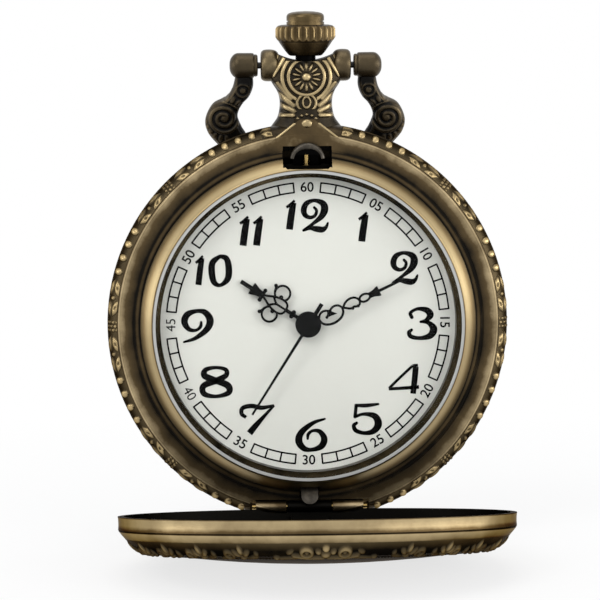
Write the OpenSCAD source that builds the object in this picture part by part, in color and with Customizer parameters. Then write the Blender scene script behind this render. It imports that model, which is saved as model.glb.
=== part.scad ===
// Hunter pocket watch with a hinged front cover, standing open.
// Units are millimetres. X points to 3 o'clock, Z to 12 o'clock, and the dial faces -Y.
// The origin is the middle of the flat on the case back, on the axis of the hands.

/* [Case] */
// Outside diameter of the case over its border
case_d = 47; // [40:0.5:56]
// Height of the seat that the front cover closes on, above the case back
seat_h = 7.4; // [7.3:0.1:9]
// Rise of the bezel above that seat
bezel_rise = 2.1; // [1.8:0.1:2.6]
// Width of the embossed border
border_w = 1.3; // [1.1:0.05:1.6]
// Width of the smooth seat ring
seat_w = 1.6; // [1.3:0.05:1.9]
// Width of the groove between seat and bezel
groove_w = 0.95; // [0.8:0.05:1.2]
// Width of the sloping bezel
bezel_w = 1.45; // [1.2:0.05:1.8]

/* [Front cover] */
// Height of the plain band round the cover's edge
cover_band = 1.6; // [1.2:0.1:2]
// Height of the whole cover from its edge to the top of its dome
cover_h = 5.45; // [4.6:0.05:6.5]
// Wall thickness of the cover
cover_t = 0.7; // [0.5:0.05:0.9]
// How far the cover stands open
open_angle = 82.4; // [60:0.1:84]

/* [Pendant, crown and bow] */
// Height of the bow pins above the edge of the case
pin_rise = 6.7; // [6:0.1:8]
// Outside diameter of the crown
crown_d = 7; // [5.8:0.1:8]
// Number of flutes round the crown
crown_flutes = 24; // [18:2:30]
// Diameter of the button in the crown
button_d = 4.4; // [3.6:0.1:5]
// Travel of the button
button_travel = 0.6; // [0.4:0.05:0.65]
// Thickness of the bow
bow_t = 2.2; // [1.7:0.1:2.4]
// Radius of the round end of the bow
bow_r = 8.2; // [7.4:0.1:10]

/* [Dial and hands] */
// Hours shown
show_hour = 10; // [0:1:11]
// Minutes shown
show_minute = 10.8; // [0:0.1:59.9]
// Seconds shown
show_second = 35.4; // [0:0.1:59.9]
// Length of the minute hand as a share of the dial radius
minute_share = 0.69; // [0.6:0.01:0.76]
// Length of the hour hand as a share of the dial radius
hour_share = 0.52; // [0.45:0.01:0.56]

/* [Movement] */
// Diameter of the movement's main plate
plate_d = 26; // [25.5:0.1:27]
// Distance from the hands to the third wheel
train_a = 3.4; // [3.35:0.01:3.45]
// Diameter of the battery
battery_d = 6.8; // [5.8:0.1:7]

/* [Hidden] */
// radii, from the outside in
case_r = case_d / 2;
edge_r = case_r - border_w;
seat_r = edge_r - seat_w;
bezel_r = seat_r - groove_w;
glass_hole_r = bezel_r - bezel_w;
gasket_r = glass_hole_r - 0.01;
glass_r = glass_hole_r - 0.35;
dial_r = glass_r + 0.1;
rehaut_r = dial_r - 0.65;
bore_r = dial_r + 0.4;
plug_r = bezel_r - 0.75;
plate_r = plate_d / 2;
// heights above the case back
bezel_top = seat_h + bezel_rise;
dial_front = seat_h - 1.1;
dial_back = dial_front - 0.4;
belly_h = seat_h - 1.9;
belly_r = 1.92;
border_sink = 0.16;
border_top = 66;
border_foot = -6;
pendant_half = 5.2;
plate_front = dial_back - 0.85;
plate_back = plate_front - 1;
stem_h = dial_back - 1.5;
back_h = 2.4;
dome_sink = 0.55;
back_edge = case_r - 1.95;
back_ball = (pow(back_edge, 2) + pow(back_h + dome_sink - 0.1, 2)) / (2 * (back_h + dome_sink - 0.1));
// cover and its hinge
cover_r = edge_r + 0.1;
cover_foot = seat_h + 0.05;
hinge_y = -(cover_r - 0.8);
hinge_h = cover_foot - 0.3;
knuckle_r = 0.68;
knuckle_in = 2.75;
knuckle_out = 6.3;
hinge_pin_r = 0.3;
dome_drop = 1.05;
cover_ball = (pow(cover_r - 6.1, 2) + pow(dome_drop, 2)) / (2 * dome_drop);
tongue_y = -(bore_r + 0.42);
tongue_h = seat_h + 0.02;
tongue_up = 31;
// crown line
pin_z = case_r + pin_rise;
pend_top = pin_z + 0.8;
crown_z = pend_top + 0.3;
valley_sink = 0.5;
valley_r = crown_d / 2 + 0.6;
valley_h = 1.55;
valley_ball = (pow(valley_r, 2) + pow(valley_h, 2)) / (2 * valley_h);
stem_r = 0.45;
rod_r = 0.22;
pipe_r = 1.18;
pocket_out = seat_r + 0.3;
latch_y = pocket_out - 0.95;
nose_r = 2.05;
nose_tip = edge_r - 0.85;
// bow, which hangs at the slope that takes it past the edge of the case back
bow_past = 3.5;
bow_below = 1.8135;
bow_back = atan((stem_h - back_h + bow_below) / (pin_rise + bow_past));
knob_in = 5.7;
knob_r = 1.4;
ear_r = 1.65;
ear_out = 5.25;
bow_pin_r = 0.38;
loop_v = 11;
// hands
hand_t = 0.2;
hand_line = 0.16;
hour_h = dial_front + 0.45;
minute_h = hour_h + 0.5;
second_h = minute_h + 0.45;
minute_len = minute_share * dial_r;
hour_len = hour_share * dial_r;
second_len = minute_len;
second_tail = 2.9;
hub_r = 1.46;
minute_turn = show_minute * 6;
hour_turn = show_hour * 30 + show_minute / 2 - 2.2;
second_turn = show_second * 6;
// gear train: teeth, modules and places
arbor_r = 0.15;
tube_r = 0.475;
hour_tube_r = 0.75;
third_at = 200;
fifth_at = -50;
rotor_at = -80;
seconds_teeth = 40;
third_teeth = 60;
centre_teeth = 64;
fifth_teeth = 48;
leaves = 8;
m_third = 2 * train_a / (third_teeth + leaves);
m_centre = 2 * train_a / (centre_teeth + leaves);
m_second = 0.142;
m_fifth = 0.09;
fifth_a = m_second * (seconds_teeth + leaves) / 2;
rotor_a = m_fifth * (fifth_teeth + leaves) / 2;
third_p = polar(train_a, third_at);
fifth_p = polar(fifth_a, fifth_at);
rotor_p = fifth_p + polar(rotor_a, rotor_at);
m_motion = 0.11;
motion_a = 20 * m_motion;
setting_a = 25 * m_motion;
minute_p = [0, motion_a];
setting_p = [0, motion_a + setting_a];
// levels of the train, measured back from the plate
wheel_t = 0.18;
pinion_t = 0.3;
level = [-0.3, -0.66, -1.06, -1.46];
bridge_h = plate_back - 2.15;
bridge_t = 0.35;
battery_r = battery_d / 2;
battery_p = [-7.4, 4.2];
battery_h = plate_back - 2.75;
can_p = [8.8, -1.2];

function polar(r, a) = [r * cos(a), r * sin(a)];

// phase that brings gear B into mesh with gear A, both counted in turns of their own teeth
function mesh(phase_a, teeth_a, teeth_b, way) =
    way + 180 - (0.5 - (way - phase_a) * teeth_a / 360) * 360 / teeth_b;

// outline of a watch gear: radial flanks below the pitch circle, pointed rounding above it
function tooth(r_root, r_pitch, r_tip, half, mid) = [
    polar(r_root, mid - half), polar(r_pitch, mid - half), polar((r_pitch + r_tip) / 2, mid - half * 0.78),
    polar(r_tip, mid - half * 0.3), polar(r_tip, mid + half * 0.3),
    polar((r_pitch + r_tip) / 2, mid + half * 0.78), polar(r_pitch, mid + half), polar(r_root, mid + half)];

function gear_points(m, teeth, add, ded, share) = [
    for (i = [0 : teeth - 1])
        for (p = tooth(m * (teeth / 2 - ded), m * teeth / 2, m * (teeth / 2 + add), 180 * share / teeth,
                i * 360 / teeth)) p];

module wheel_2d(m, teeth, phase) rotate(phase) polygon(gear_points(m, teeth, 1.1, 1.3, 0.44));
module pinion_2d(m, teeth, phase) rotate(phase) polygon(gear_points(m, teeth, 0.75, 1.5, 0.4));

// turns a solid drawn flat, with its height towards the dial, into the upright watch
module upright() rotate([90, 0, 0]) children();

module disc(r, h, z = 0) translate([0, 0, z]) cylinder(r = r, h = h, $fn = 96);
module ring(r_out, r_in, h, z = 0) translate([0, 0, z]) difference() {
    cylinder(r = r_out, h = h, $fn = 96);
    translate([0, 0, -1]) cylinder(r = r_in, h = h + 2, $fn = 96);
}
module peg(x, y, z, r, h) translate([x, y, z]) cylinder(r = r, h = h, $fn = 32);
module spin() rotate_extrude($fn = 128) children();
// a solid turned about the stem line, drawn as radius and height above the hands
module on_stem() translate([0, -stem_h, 0]) children();

// a spoked wheel with a rim, arms and a hub
module spoked(m, teeth, phase, arms, hub, z) translate([0, 0, z]) {
    rim = m * (teeth / 2 - 1.3) - 0.28;
    linear_extrude(wheel_t) difference() {
        wheel_2d(m, teeth, phase);
        difference() {
            circle(r = rim, $fn = 64);
            circle(r = hub, $fn = 48);
            for (i = [0 : arms - 1]) rotate(i * 360 / arms + phase)
                translate([0, -0.14]) square([rim + 0.1, 0.28]);
        }
        circle(r = arbor_r, $fn = 32);
    }
}
module leaf_pinion(m, teeth, z, h, bore) translate([0, 0, z]) linear_extrude(h) difference() {
    pinion_2d(m, teeth, 0);
    circle(r = bore, $fn = 32);
}

// ---------------------------------------------------------------- case

module case_ring_2d() {
    difference() {
        union() {
            translate([case_r - belly_r, belly_h]) circle(r = belly_r, $fn = 96);
            translate([bore_r, back_h + 0.35]) square([edge_r - bore_r, seat_h - back_h - 0.35]);
        }
        // cut the belly's inner half away
        square([bore_r, 20]);
        // room under the bezel's foot
        translate([bore_r - 1, dial_front + 0.05]) square([plug_r + 0.05 - bore_r + 1, 5]);
        // groove between the bezel and the seat, with a fine step in it
        translate([bezel_r - 1, seat_h - 0.45]) square([seat_r - bezel_r + 1 - 0.35, 5]);
        translate([bezel_r - 1, seat_h - 0.22]) square([seat_r - bezel_r + 1, 5]);
        // seat for the cover: nothing stands above it
        translate([0, seat_h]) square([edge_r, 5]);
        // recess for the case back's snap rim
        translate([0, back_h - 1]) square([back_edge - 1.25, 2.15]);
    }
}

module peak_2d() polygon([[-4.3, 20], [-4.1, edge_r - 0.9], [-1.5, case_r - 0.2], [-1.5, case_r + 0.5],
    [1.5, case_r + 0.5], [1.5, case_r - 0.2], [4.1, edge_r - 0.9], [4.3, 20]]);

// shallow bed of the embossed border, between a rim at the seat and one at the case's flank
module border_bed() difference() {
    spin() translate([case_r - belly_r, belly_h]) difference() {
        circle(r = belly_r + 1, $fn = 96);
        circle(r = belly_r - border_sink, $fn = 96);
        polygon([[0, 0], polar(9, border_top), [-9, 9], [-9, -9], [9, -9], polar(9, border_foot)]);
    }
    // the pendant and the hinge stand on whole metal
    translate([-pendant_half, 0, 0]) cube([2 * pendant_half, 2 * case_r, 20]);
    translate([-knuckle_out - 1.3, -2 * case_r, 0]) cube([2 * knuckle_out + 2.6, 2 * case_r, 20]);
}

// smooth plate that rises from the border to the pendant
module peak() intersection() {
    translate([0, 0, belly_h - 0.5]) linear_extrude(seat_h - belly_h + 0.4) peak_2d();
    ring(case_r + 2, seat_r + 0.2, 20);
}

module case_middle() color("#8a6b3f") upright() difference() {
    union() {
        difference() {
            spin() case_ring_2d();
            border_bed();
            // hinge recess at 6 o'clock
            translate([-7, -case_r - 1, seat_h - 1.3]) cube([14, case_r + 1 + hinge_y + 0.85, 3]);
        }
        peak();
        // the two hinge knuckles, each on a foot
        for (s = [-1, 1]) {
            x0 = s > 0 ? knuckle_in : -knuckle_out;
            translate([x0, hinge_y, hinge_h]) rotate([0, 90, 0])
                cylinder(r = knuckle_r, h = knuckle_out - knuckle_in, $fn = 48);
            translate([x0, hinge_y, seat_h - 1.4])
                cube([knuckle_out - knuckle_in, knuckle_r, hinge_h - seat_h + 1.4]);
        }
    }
    // bore for the hinge pin
    translate([-9, hinge_y, hinge_h]) rotate([0, 90, 0]) cylinder(r = hinge_pin_r, h = 18, $fn = 32);
    // window and pocket for the latch at 12 o'clock
    translate([-2.85, glass_hole_r - 0.2, back_h + 0.5]) cube([5.7, pocket_out - glass_hole_r + 0.2, 10]);
    // slot for the lift spring at 6 o'clock
    translate([-1.15, -seat_r - 0.05, back_h + 1]) cube([2.3, seat_r - bore_r + 1, 10]);
    translate([-1.15, -seat_r - 0.9, seat_h - 1.3]) cube([2.3, 3, 10]);
    // counterbore for the push collar, then the way of the pendant tube
    translate([0, 0, stem_h]) rotate([-90, 0, 0]) {
        cylinder(r = 1.12, h = pocket_out + 1.65, $fn = 48);
        cylinder(r = 0.95, h = case_r + 5, $fn = 48);
    }
}

module case_back() color("#7d6038") upright() difference() {
    union() {
        intersection() {
            translate([0, 0, back_ball - dome_sink]) sphere(r = back_ball, $fn = 200);
            disc(back_edge, back_h);
        }
        ring(back_edge - 1.28, back_edge - 1.9, 0.95, back_h - 0.2);
        ring(back_edge, back_edge - 3, 0.5, back_h - 0.5);
    }
    intersection() {
        translate([0, 0, back_ball - dome_sink]) sphere(r = back_ball - 0.62, $fn = 200);
        disc(back_edge - 1.9, 20, 0.62);
    }
    // lip for a case knife
    rotate(-62) translate([back_edge - 0.35, -1.2, back_h - 0.3]) cube([2, 2.4, 2]);
}

module back_gasket() color("#2b2b2b") upright() ring(back_edge - 0.6, back_edge - 1.2, 0.33, back_h + 0.01);

module bezel() color("#c2a060") upright() difference() {
    spin() polygon([[rehaut_r, dial_front + 0.03], [plug_r, dial_front + 0.06], [plug_r, seat_h - 0.45],
        [bezel_r - 0.03, seat_h - 0.43], [bezel_r - 0.03, seat_h + 0.35], [bezel_r - 0.25, seat_h + 0.62],
        [glass_hole_r + 0.18, bezel_top - 0.12], [glass_hole_r, bezel_top - 0.05],
        [glass_hole_r, bezel_top - 1.45], [rehaut_r, bezel_top - 1.45]]);
    // latch window, open at its outer side, with clipped inner corners
    translate([0, 0, dial_front + 0.65]) linear_extrude(5) polygon([[-2.4, glass_hole_r + 0.12],
        [2.4, glass_hole_r + 0.12], [2.85, glass_hole_r + 0.6], [2.85, 40], [-2.85, 40],
        [-2.85, glass_hole_r + 0.6]]);
    translate([0, 0, dial_front - 1]) linear_extrude(3) polygon([[-1.7, plug_r - 0.3], [1.7, plug_r - 0.3],
        [1.7, 40], [-1.7, 40]]);
    // slot for the lift spring's tongue
    translate([-1.15, -bezel_r - 0.25, dial_front - 1])
        cube([2.3, bezel_r - glass_hole_r - 0.1, seat_h + 2.1 - dial_front]);
}

// flat mineral glass with a polished bevel
module crystal() color("#dfe9ee", 0.35) upright() spin() polygon([[0, bezel_top - 1.4],
    [glass_r, bezel_top - 1.4], [glass_r, bezel_top - 0.16], [glass_r - 0.2, bezel_top + 0.05],
    [0, bezel_top + 0.05]]);

module crystal_gasket() color("#1d1d1f") upright()
    ring(gasket_r, glass_r + 0.01, 1.3, bezel_top - 1.4);

// ---------------------------------------------------------------- front cover and hinge

// half section of the cover: a plain band, a leaning shoulder and a shallow dome
module cover_solid_2d(inset) {
    square([cover_r - inset, cover_band]);
    intersection() {
        union() {
            translate([cover_r - 6.61, cover_band - 4.66]) circle(r = 8 - inset, $fn = 240);
            square([cover_r - 6.61, cover_h]);
        }
        translate([0, cover_h - cover_ball]) circle(r = cover_ball - inset, $fn = 720);
        square([cover_r - inset, cover_h]);
    }
}

module cover_closed() difference() {
    union() {
        difference() {
            rotate_extrude($fn = 180) difference() {
                cover_solid_2d(0);
                cover_solid_2d(cover_t);
                // hollow of the band and the fine line above it
                translate([cover_r + 4.9, cover_band * 0.55]) circle(r = 5, $fn = 128);
                translate([cover_r + 0.02, cover_band]) circle(r = 0.14, $fn = 32);
            }
            // clear of the case's knuckles
            for (s = [-1, 1]) translate([s > 0 ? knuckle_in - 0.12 : -knuckle_out - 0.12, hinge_y, -0.3])
                rotate([0, 90, 0])
                    cylinder(r = knuckle_r + 0.12, h = knuckle_out - knuckle_in + 0.24, $fn = 48);
        }
        // the cover's own knuckle
        translate([-2.6, hinge_y, -0.3]) rotate([0, 90, 0]) cylinder(r = knuckle_r, h = 5.2, $fn = 48);
        // lip that the lift spring pushes, inside the band above the knuckle
        translate([-2.2, -cover_r + cover_t - 0.1, 0.8]) cube([4.4, 0.75, 0.5]);
        // lug that the latch holds
        intersection() {
            ring(cover_r - cover_t + 0.05, nose_tip - 0.33, 0.4, 0.02);
            translate([-2, 10, 0]) cube([4, 20, 2]);
        }
    }
    // bore for the hinge pin
    translate([-7, hinge_y, -0.3]) rotate([0, 90, 0]) cylinder(r = hinge_pin_r + 0.04, h = 14, $fn = 32);
}

module front_cover() color("#9b7b48") upright()
    translate([0, hinge_y, hinge_h]) rotate([open_angle, 0, 0])
        translate([0, -hinge_y, cover_foot - hinge_h]) cover_closed();

module hinge_pin() color("#c9c9c9") upright() translate([-6.75, hinge_y, hinge_h]) rotate([0, 90, 0])
    cylinder(r = hinge_pin_r, h = 13.5, $fn = 32);

// bar that bends inside the case, drawn at rest
module bent_bar(a0, a1, h) translate([0, 0, h]) rotate(a0) rotate_extrude(angle = a1 - a0, $fn = 96)
    translate([bore_r - 0.75, 0]) square([0.35, 1.1]);

module lift_spring() color("#b9b9b6") upright() bent_bar(-150, -93, back_h + 1);

module lift_tongue() color("#b9b9b6") upright() translate([0, tongue_y, tongue_h])
    rotate([-tongue_up, 0, 0]) {
        difference() {
            translate([-0.98, -2.62, -0.12]) cube([1.96, 2.74, 0.24]);
            // half-round end
            translate([0, -1.66, -1]) difference() {
                translate([-2, -2, 0]) cube([4, 2, 2]);
                cylinder(r = 0.98, h = 2, $fn = 48);
            }
        }
        translate([-0.98, -0.02, -0.6]) cube([1.96, 0.22, 0.72]);
    }

module latch_spring() color("#b9b9b6") upright() bent_bar(30, 84, back_h + 1);

module latch() color("#b5b5b2") upright() difference() {
    union() {
        // half-round nose with a bevelled edge
        intersection() {
            translate([0, nose_tip - nose_r, seat_h + 0.55]) cylinder(r1 = nose_r, r2 = nose_r - 0.3, h = 0.5,
                $fn = 64);
            translate([-3, latch_y, 0]) cube([6, 5, 20]);
        }
        // blade down into the case, and its foot
        translate([-1.5, latch_y, back_h + 0.75]) cube([3, 0.5, seat_h + 0.9 - back_h - 0.75]);
        translate([-1.5, bore_r + 0.1, back_h + 0.75]) cube([3, latch_y - bore_r, 0.45]);
    }
    // hole that the stem passes through
    translate([0, 0, stem_h]) rotate([-90, 0, 0]) cylinder(r = stem_r + 0.15, h = 60, $fn = 32);
}

// ---------------------------------------------------------------- pendant, bow and crown

// one side of the pendant, from the case up to the ear
function pendant_side() = concat(
    curve([5.2, case_r - 2.2], [4.6, case_r - 0.9], [3.55, case_r - 0.3], [3.3, case_r + 0.9]),
    curve([3.2, case_r + 1.5], [3.1, case_r + 2.3], [3.2, case_r + 2.9], [3.5, pin_z - 3]),
    curve([3.9, pin_z - 2.7], [4.3, pin_z - 2.2], [4.5, pin_z - 1.6], [4.55, pin_z - 0.8]),
    [[4.45, pin_z + 1.2], [4.1, pin_z + ear_r + 0.05]]);

module pendant_front_2d() polygon(concat(pendant_side(),
    [for (p = backwards(pendant_side())) [-p[0], p[1]]]));

module pendant() color("#8a6b3f") difference() {
    union() {
        intersection() {
            translate([0, -stem_h + 3.2, 0]) rotate([90, 0, 0]) linear_extrude(6.4) pendant_front_2d();
            // waisted from the side too, and rounded in plan
            rotate([90, 0, 90]) translate([0, 0, -6]) linear_extrude(12) difference() {
                translate([-stem_h - 2.75, case_r - 2]) square([5.5, 20]);
                for (s = [-1, 1]) translate([-stem_h + s * 7.3, case_r + 3.4]) circle(r = 5, $fn = 96);
            }
            on_stem() intersection() {
                cylinder(r = 5.4, h = 60, $fn = 96);
                translate([-5.4, -2.75, 0]) cube([10.8, 5.5, 60]);
            }
        }
        // ears that carry the bow pins
        translate([-ear_out, -stem_h, pin_z]) rotate([0, 90, 0])
            cylinder(r = ear_r, h = 2 * ear_out, $fn = 64);
        for (s = [-1, 1]) translate([s * (ear_out - 0.55), -stem_h, pin_z]) rotate([0, 90, 0])
            translate([0, 0, -0.3]) cylinder(r = ear_r + 0.18, h = 0.6, $fn = 64);
        // round boss in front for the rosette
        translate([0, -stem_h - 1.5, pin_z - 0.75]) rotate([90, 0, 0]) cylinder(r1 = 2.6, r2 = 2.2, h = 0.95,
            $fn = 64);
    }
    // foot that follows the case it is soldered to
    upright() {
        spin() translate([case_r - belly_r, belly_h]) circle(r = belly_r, $fn = 96);
        disc(case_r - belly_r, 20);
        disc(edge_r, 20, back_h + 0.35);
        peak();
    }
    // valley between the ears, with room for the crown
    on_stem() translate([0, 0, pend_top - valley_sink + valley_ball]) sphere(r = valley_ball, $fn = 128);
    on_stem() cylinder(r = 0.95, h = 60, $fn = 48);
    on_stem() translate([0, 0, pin_z - ear_r - 2]) cylinder(r = pipe_r + 0.005, h = 20, $fn = 48);
    for (s = [-1, 1]) translate([s > 0 ? ear_out - 2.2 : -ear_out - 1, -stem_h, pin_z]) rotate([0, 90, 0])
        cylinder(r = bow_pin_r, h = 3.2, $fn = 32);
}

module pendant_tube() color("#3a342c") on_stem() difference() {
    union() {
        translate([0, 0, pin_z - ear_r - 1.98]) cylinder(r = pipe_r, h = crown_z + 1.6 - pin_z + ear_r + 1.98,
            $fn = 48);
        translate([0, 0, case_r + 0.4]) cylinder(r = 0.94, h = 5, $fn = 48);
    }
    cylinder(r = stem_r + 0.05, h = 60, $fn = 48);
    // relief round the crown's gasket
    translate([0, 0, crown_z + 0.5]) difference() {
        cylinder(r = pipe_r + 1, h = 0.5, $fn = 48);
        cylinder(r = pipe_r - 0.2, h = 0.5, $fn = 48);
    }
}

// one arm: its outer edge down from the knob, its end in the round bow, and its inner edge back up
module bow_arm_2d() polygon(concat(
    curve([6.15, -1.1], [6.15, -3], [6.6, -3.8], [7.3, -4.7]),
    curve([7.55, -5], [8.5, -6.3], [7.6, -7.9], [6.75, -8.7]),
    [[6.8, -9.9], [9, -11.2]],
    curve([9.7, -10.6], [11.1, -9.5], [12.3, -7.4], [11.2, -5.5]),
    curve([10.9, -5.1], [10.1, -4.6], [9.2, -4.2], [8.6, -2.9]),
    [[8.2, -1.1]]));

module bow_half() {
    // knob turned round the pin, with a blind bore
    translate([knob_in, 0, 0]) rotate([0, 90, 0]) rotate_extrude($fn = 96)
        polygon([[bow_pin_r + 0.05, 0], [knob_r - 0.15, 0], [knob_r, 0.2], [knob_r, 2.1],
            [knob_r - 0.15, 2.6], [knob_r - 0.55, 2.95], [0, 3.1], [0, 2.1], [bow_pin_r + 0.05, 2.1]]);
    // flat arm in the shape of an S, with a small scroll's boss on its neck
    translate([0, 0, 0.1 - bow_t / 2]) linear_extrude(bow_t - 0.2) bow_arm_2d();
    translate([7.35, -2.9, -bow_t / 2 - 0.1]) cylinder(r = 0.75, h = bow_t + 0.2, $fn = 48);
    // large scroll: a raised ring with a bead in its eye, on both faces
    for (s = [-1, 1]) translate([9.6, -6.7, s * (bow_t / 2 - 0.15)]) {
        rotate_extrude($fn = 64) translate([1.3, 0]) circle(r = 0.35, $fn = 32);
        sphere(r = 0.55, $fn = 48);
    }
    // neck that turns to the knob
    translate([7.15, -0.8, 0]) rotate([90, 0, 0]) cylinder(r = 0.95, h = 1.8, $fn = 64);
    // half of the round end
    translate([0, -loop_v, 0]) rotate(-90) rotate_extrude(angle = 90 + 10, $fn = 96)
        translate([bow_r, 0]) circle(r = bow_t / 2, $fn = 64);
}

// the bow lies in a plane through its pins, hanging down behind the case
module bow() color("#6d5431") translate([0, -stem_h, pin_z]) rotate([90 + bow_back, 0, 0]) {
    bow_half();
    mirror([1, 0, 0]) bow_half();
    // shell at the middle of the round end
    translate([0, -loop_v - bow_r, 0]) rotate([0, 90, 0]) translate([0, 0, -1.5])
        cylinder(r = bow_t / 2 + 0.22, h = 3, $fn = 64);
}

module bow_pins() color("#c9c9c9") for (s = [-1, 1]) translate([s > 0 ? ear_out - 2.2 : -knob_in - 1.95,
    -stem_h, pin_z]) rotate([0, 90, 0]) cylinder(r = bow_pin_r - 0.005, h = knob_in + 1.95 - ear_out + 2.2,
    $fn = 32);

module crown() color("#a5834c") on_stem() difference() {
    union() {
        intersection() {
            translate([0, 0, crown_z + 1.3]) linear_extrude(2.4) difference() {
                circle(d = crown_d, $fn = 96);
                for (i = [0 : crown_flutes - 1]) rotate((i + 0.5) * 360 / crown_flutes)
                    translate([crown_d / 2 + 0.13, 0]) circle(r = 0.4, $fn = 32);
            }
            // both ends are turned to a slope, which gives the flutes their pointed ends
            translate([0, 0, crown_z + 2.35]) rotate_extrude($fn = 128) polygon([[0, -1.05],
                [crown_d / 2 - 0.5, -1.05], [crown_d / 2 - 0.2, -0.75], [crown_d / 2, -0.35],
                [crown_d / 2, 0.35], [crown_d / 2 - 0.2, 0.75], [crown_d / 2 - 0.5, 1.05], [0, 1.05]]);
        }
        // lower bowl
        translate([0, 0, crown_z]) rotate_extrude($fn = 128) polygon([[0, 0], [crown_d / 2 - 1.3, 0],
            [crown_d / 2 - 0.98, 0.1], [crown_d / 2 - 0.7, 0.34], [crown_d / 2 - 0.4, 0.9],
            [crown_d / 2 - 0.24, 1.4], [0, 1.4]]);
        // upper step round the button
        translate([0, 0, crown_z + 3.3]) cylinder(r1 = crown_d / 2 - 0.5, r2 = button_d / 2 + 0.25, h = 0.55,
            $fn = 96);
    }
    // socket for the pendant tube, the gasket and the button
    translate([0, 0, crown_z - 1]) cylinder(r = pipe_r + 0.08, h = 2.85, $fn = 48);
    translate([0, 0, crown_z + 0.45]) cylinder(r = pipe_r + 0.42, h = 0.6, $fn = 48);
    translate([0, 0, crown_z + 2.5]) cylinder(r = button_d / 2 + 0.04, h = 5, $fn = 64);
    cylinder(r = stem_r, h = 60, $fn = 48);
}

module crown_gasket() color("#222222") on_stem() translate([0, 0, crown_z + 0.75])
    rotate_extrude($fn = 64) translate([pipe_r + 0.225, 0]) circle(r = 0.19, $fn = 32);

module crown_button() color("#c2a060") on_stem() difference() {
    union() {
        // domed cap with a turned line round it
        translate([0, 0, crown_z]) rotate_extrude($fn = 96) polygon([[0, 3.25], [button_d / 2, 3.25],
            [button_d / 2, 4.55], [button_d / 2 - 0.07, 4.78], [button_d / 2 - 0.27, 4.95],
            [button_d / 2 - 0.6, 5.06], [button_d / 2 - 1.2, 5.15], [0, 5.2]]);
        translate([0, 0, pocket_out - 0.3])
            cylinder(r = rod_r, h = crown_z + 3.6 - pocket_out + 0.3, $fn = 32);
    }
    translate([0, 0, crown_z + 3.95]) difference() {
        cylinder(r = 5, h = 0.14, $fn = 64);
        cylinder(r = button_d / 2 - 0.12, h = 0.14, $fn = 64);
    }
    // cross hole for the collar's pin
    translate([-2, 0, pocket_out + 0.05]) rotate([0, 90, 0]) cylinder(r = 0.12, h = 4, $fn = 24);
}

module push_collar() color("#b98f45") on_stem() {
    difference() {
        translate([0, 0, pocket_out - 0.36]) cylinder(r = 1.0, h = 0.75, $fn = 48);
        cylinder(r = stem_r + 0.05, h = 60, $fn = 48);
    }
    translate([-0.9, 0, pocket_out + 0.05]) rotate([0, 90, 0]) cylinder(r = 0.115, h = 1.8, $fn = 24);
}

module button_spring() color("#c9c9c9") on_stem() for (i = [0 : 2])
    translate([0, 0, crown_z + 2.7 + i * 0.2]) rotate_extrude($fn = 48)
        translate([1.2, 0]) circle(r = 0.09, $fn = 24);

module stem() color("#b98f45") on_stem() difference() {
    union() {
        translate([0, 0, 5.7]) cylinder(r = 0.25, h = 0.85, $fn = 32);
        translate([-0.3, -0.3, 6.5]) cube([0.6, 0.6, 2.8]);
        translate([0, 0, 9.2]) cylinder(r = 0.3, h = 2, $fn = 32);
        translate([0, 0, 9.2]) cylinder(r = stem_r, h = 0.7, $fn = 32);
        for (z = [9.85, 10.65]) translate([0, 0, z]) cylinder(r = 0.7, h = 0.3, $fn = 32);
        translate([0, 0, 10.9]) cylinder(r = stem_r, h = crown_z + 2.5 - 10.9, $fn = 32);
    }
    // bore for the button's rod, and the slot for the collar's pin
    translate([0, 0, pocket_out - 1.6]) cylinder(r = rod_r + 0.04, h = 60, $fn = 32);
    translate([-2, -0.14, pocket_out + 0.05 - button_travel - 0.2]) cube([4, 0.28, button_travel + 0.4]);
}

// ---------------------------------------------------------------- keyless work

module clutch() color("#b98f45") on_stem() difference() {
    union() {
        translate([0, 0, 6.75]) cylinder(r = 0.6, h = 1.6, $fn = 48);
        translate([0, 0, 6.6]) cylinder(r = 1.0, h = 0.5, $fn = 48);
        translate([0, 0, 7.75]) cylinder(r = 1.0, h = 0.6, $fn = 48);
    }
    translate([-0.33, -0.33, 0]) cube([0.66, 0.66, 20]);
    // face teeth towards the setting wheel
    for (i = [0 : 7]) rotate(i * 45) translate([0.5, -0.09, 6.4]) cube([1, 0.18, 0.45]);
}

module setting_lever() color("#b5b5b2") upright() {
    translate([0, 0, stem_h - 1.4]) linear_extrude(0.35) difference() {
        union() {
            translate([2.3, 10.9]) circle(r = 0.75, $fn = 32);
            polygon([[2.1, 11.5], [-0.2, 10.75], [-0.2, 10.05], [2.5, 10.2]]);
            translate([0, 10.4]) circle(r = 0.35, $fn = 32);
            polygon([[2.2, 10.4], [3.0, 10.7], [4.6, 8.6], [3.9, 8.1]]);
        }
        translate([2.3, 10.9]) circle(r = 0.34, $fn = 32);
    }
    peg(0, 10.4, stem_h - 1.4, 0.15, 1.06);
}

module yoke() color("#b5b5b2") upright() {
    translate([0, 0, stem_h - 1.4]) linear_extrude(0.3) difference() {
        union() {
            translate([-2.9, 9.3]) circle(r = 0.6, $fn = 32);
            polygon([[-3.3, 9.0], [-2.6, 7.2], [-0.4, 7.2], [-0.4, 7.62], [-2.2, 7.7], [-2.4, 9.3]]);
        }
        translate([-2.9, 9.3]) circle(r = 0.28, $fn = 32);
    }
    // finger in the clutch's groove
    translate([-0.7, 7.22, stem_h - 1.4]) cube([0.3, 0.38, 0.72]);
}

module setting_wheel() color("#c9a24d") upright() translate([setting_p[0], setting_p[1], 0]) {
    phase_minute = mesh(0, 10, 30, 90);
    translate([0, 0, plate_front + 0.1]) linear_extrude(0.2) difference() {
        wheel_2d(m_motion, 20, mesh(phase_minute, 30, 20, 90));
        circle(r = 0.3, $fn = 32);
    }
}

// ---------------------------------------------------------------- hands

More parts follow.
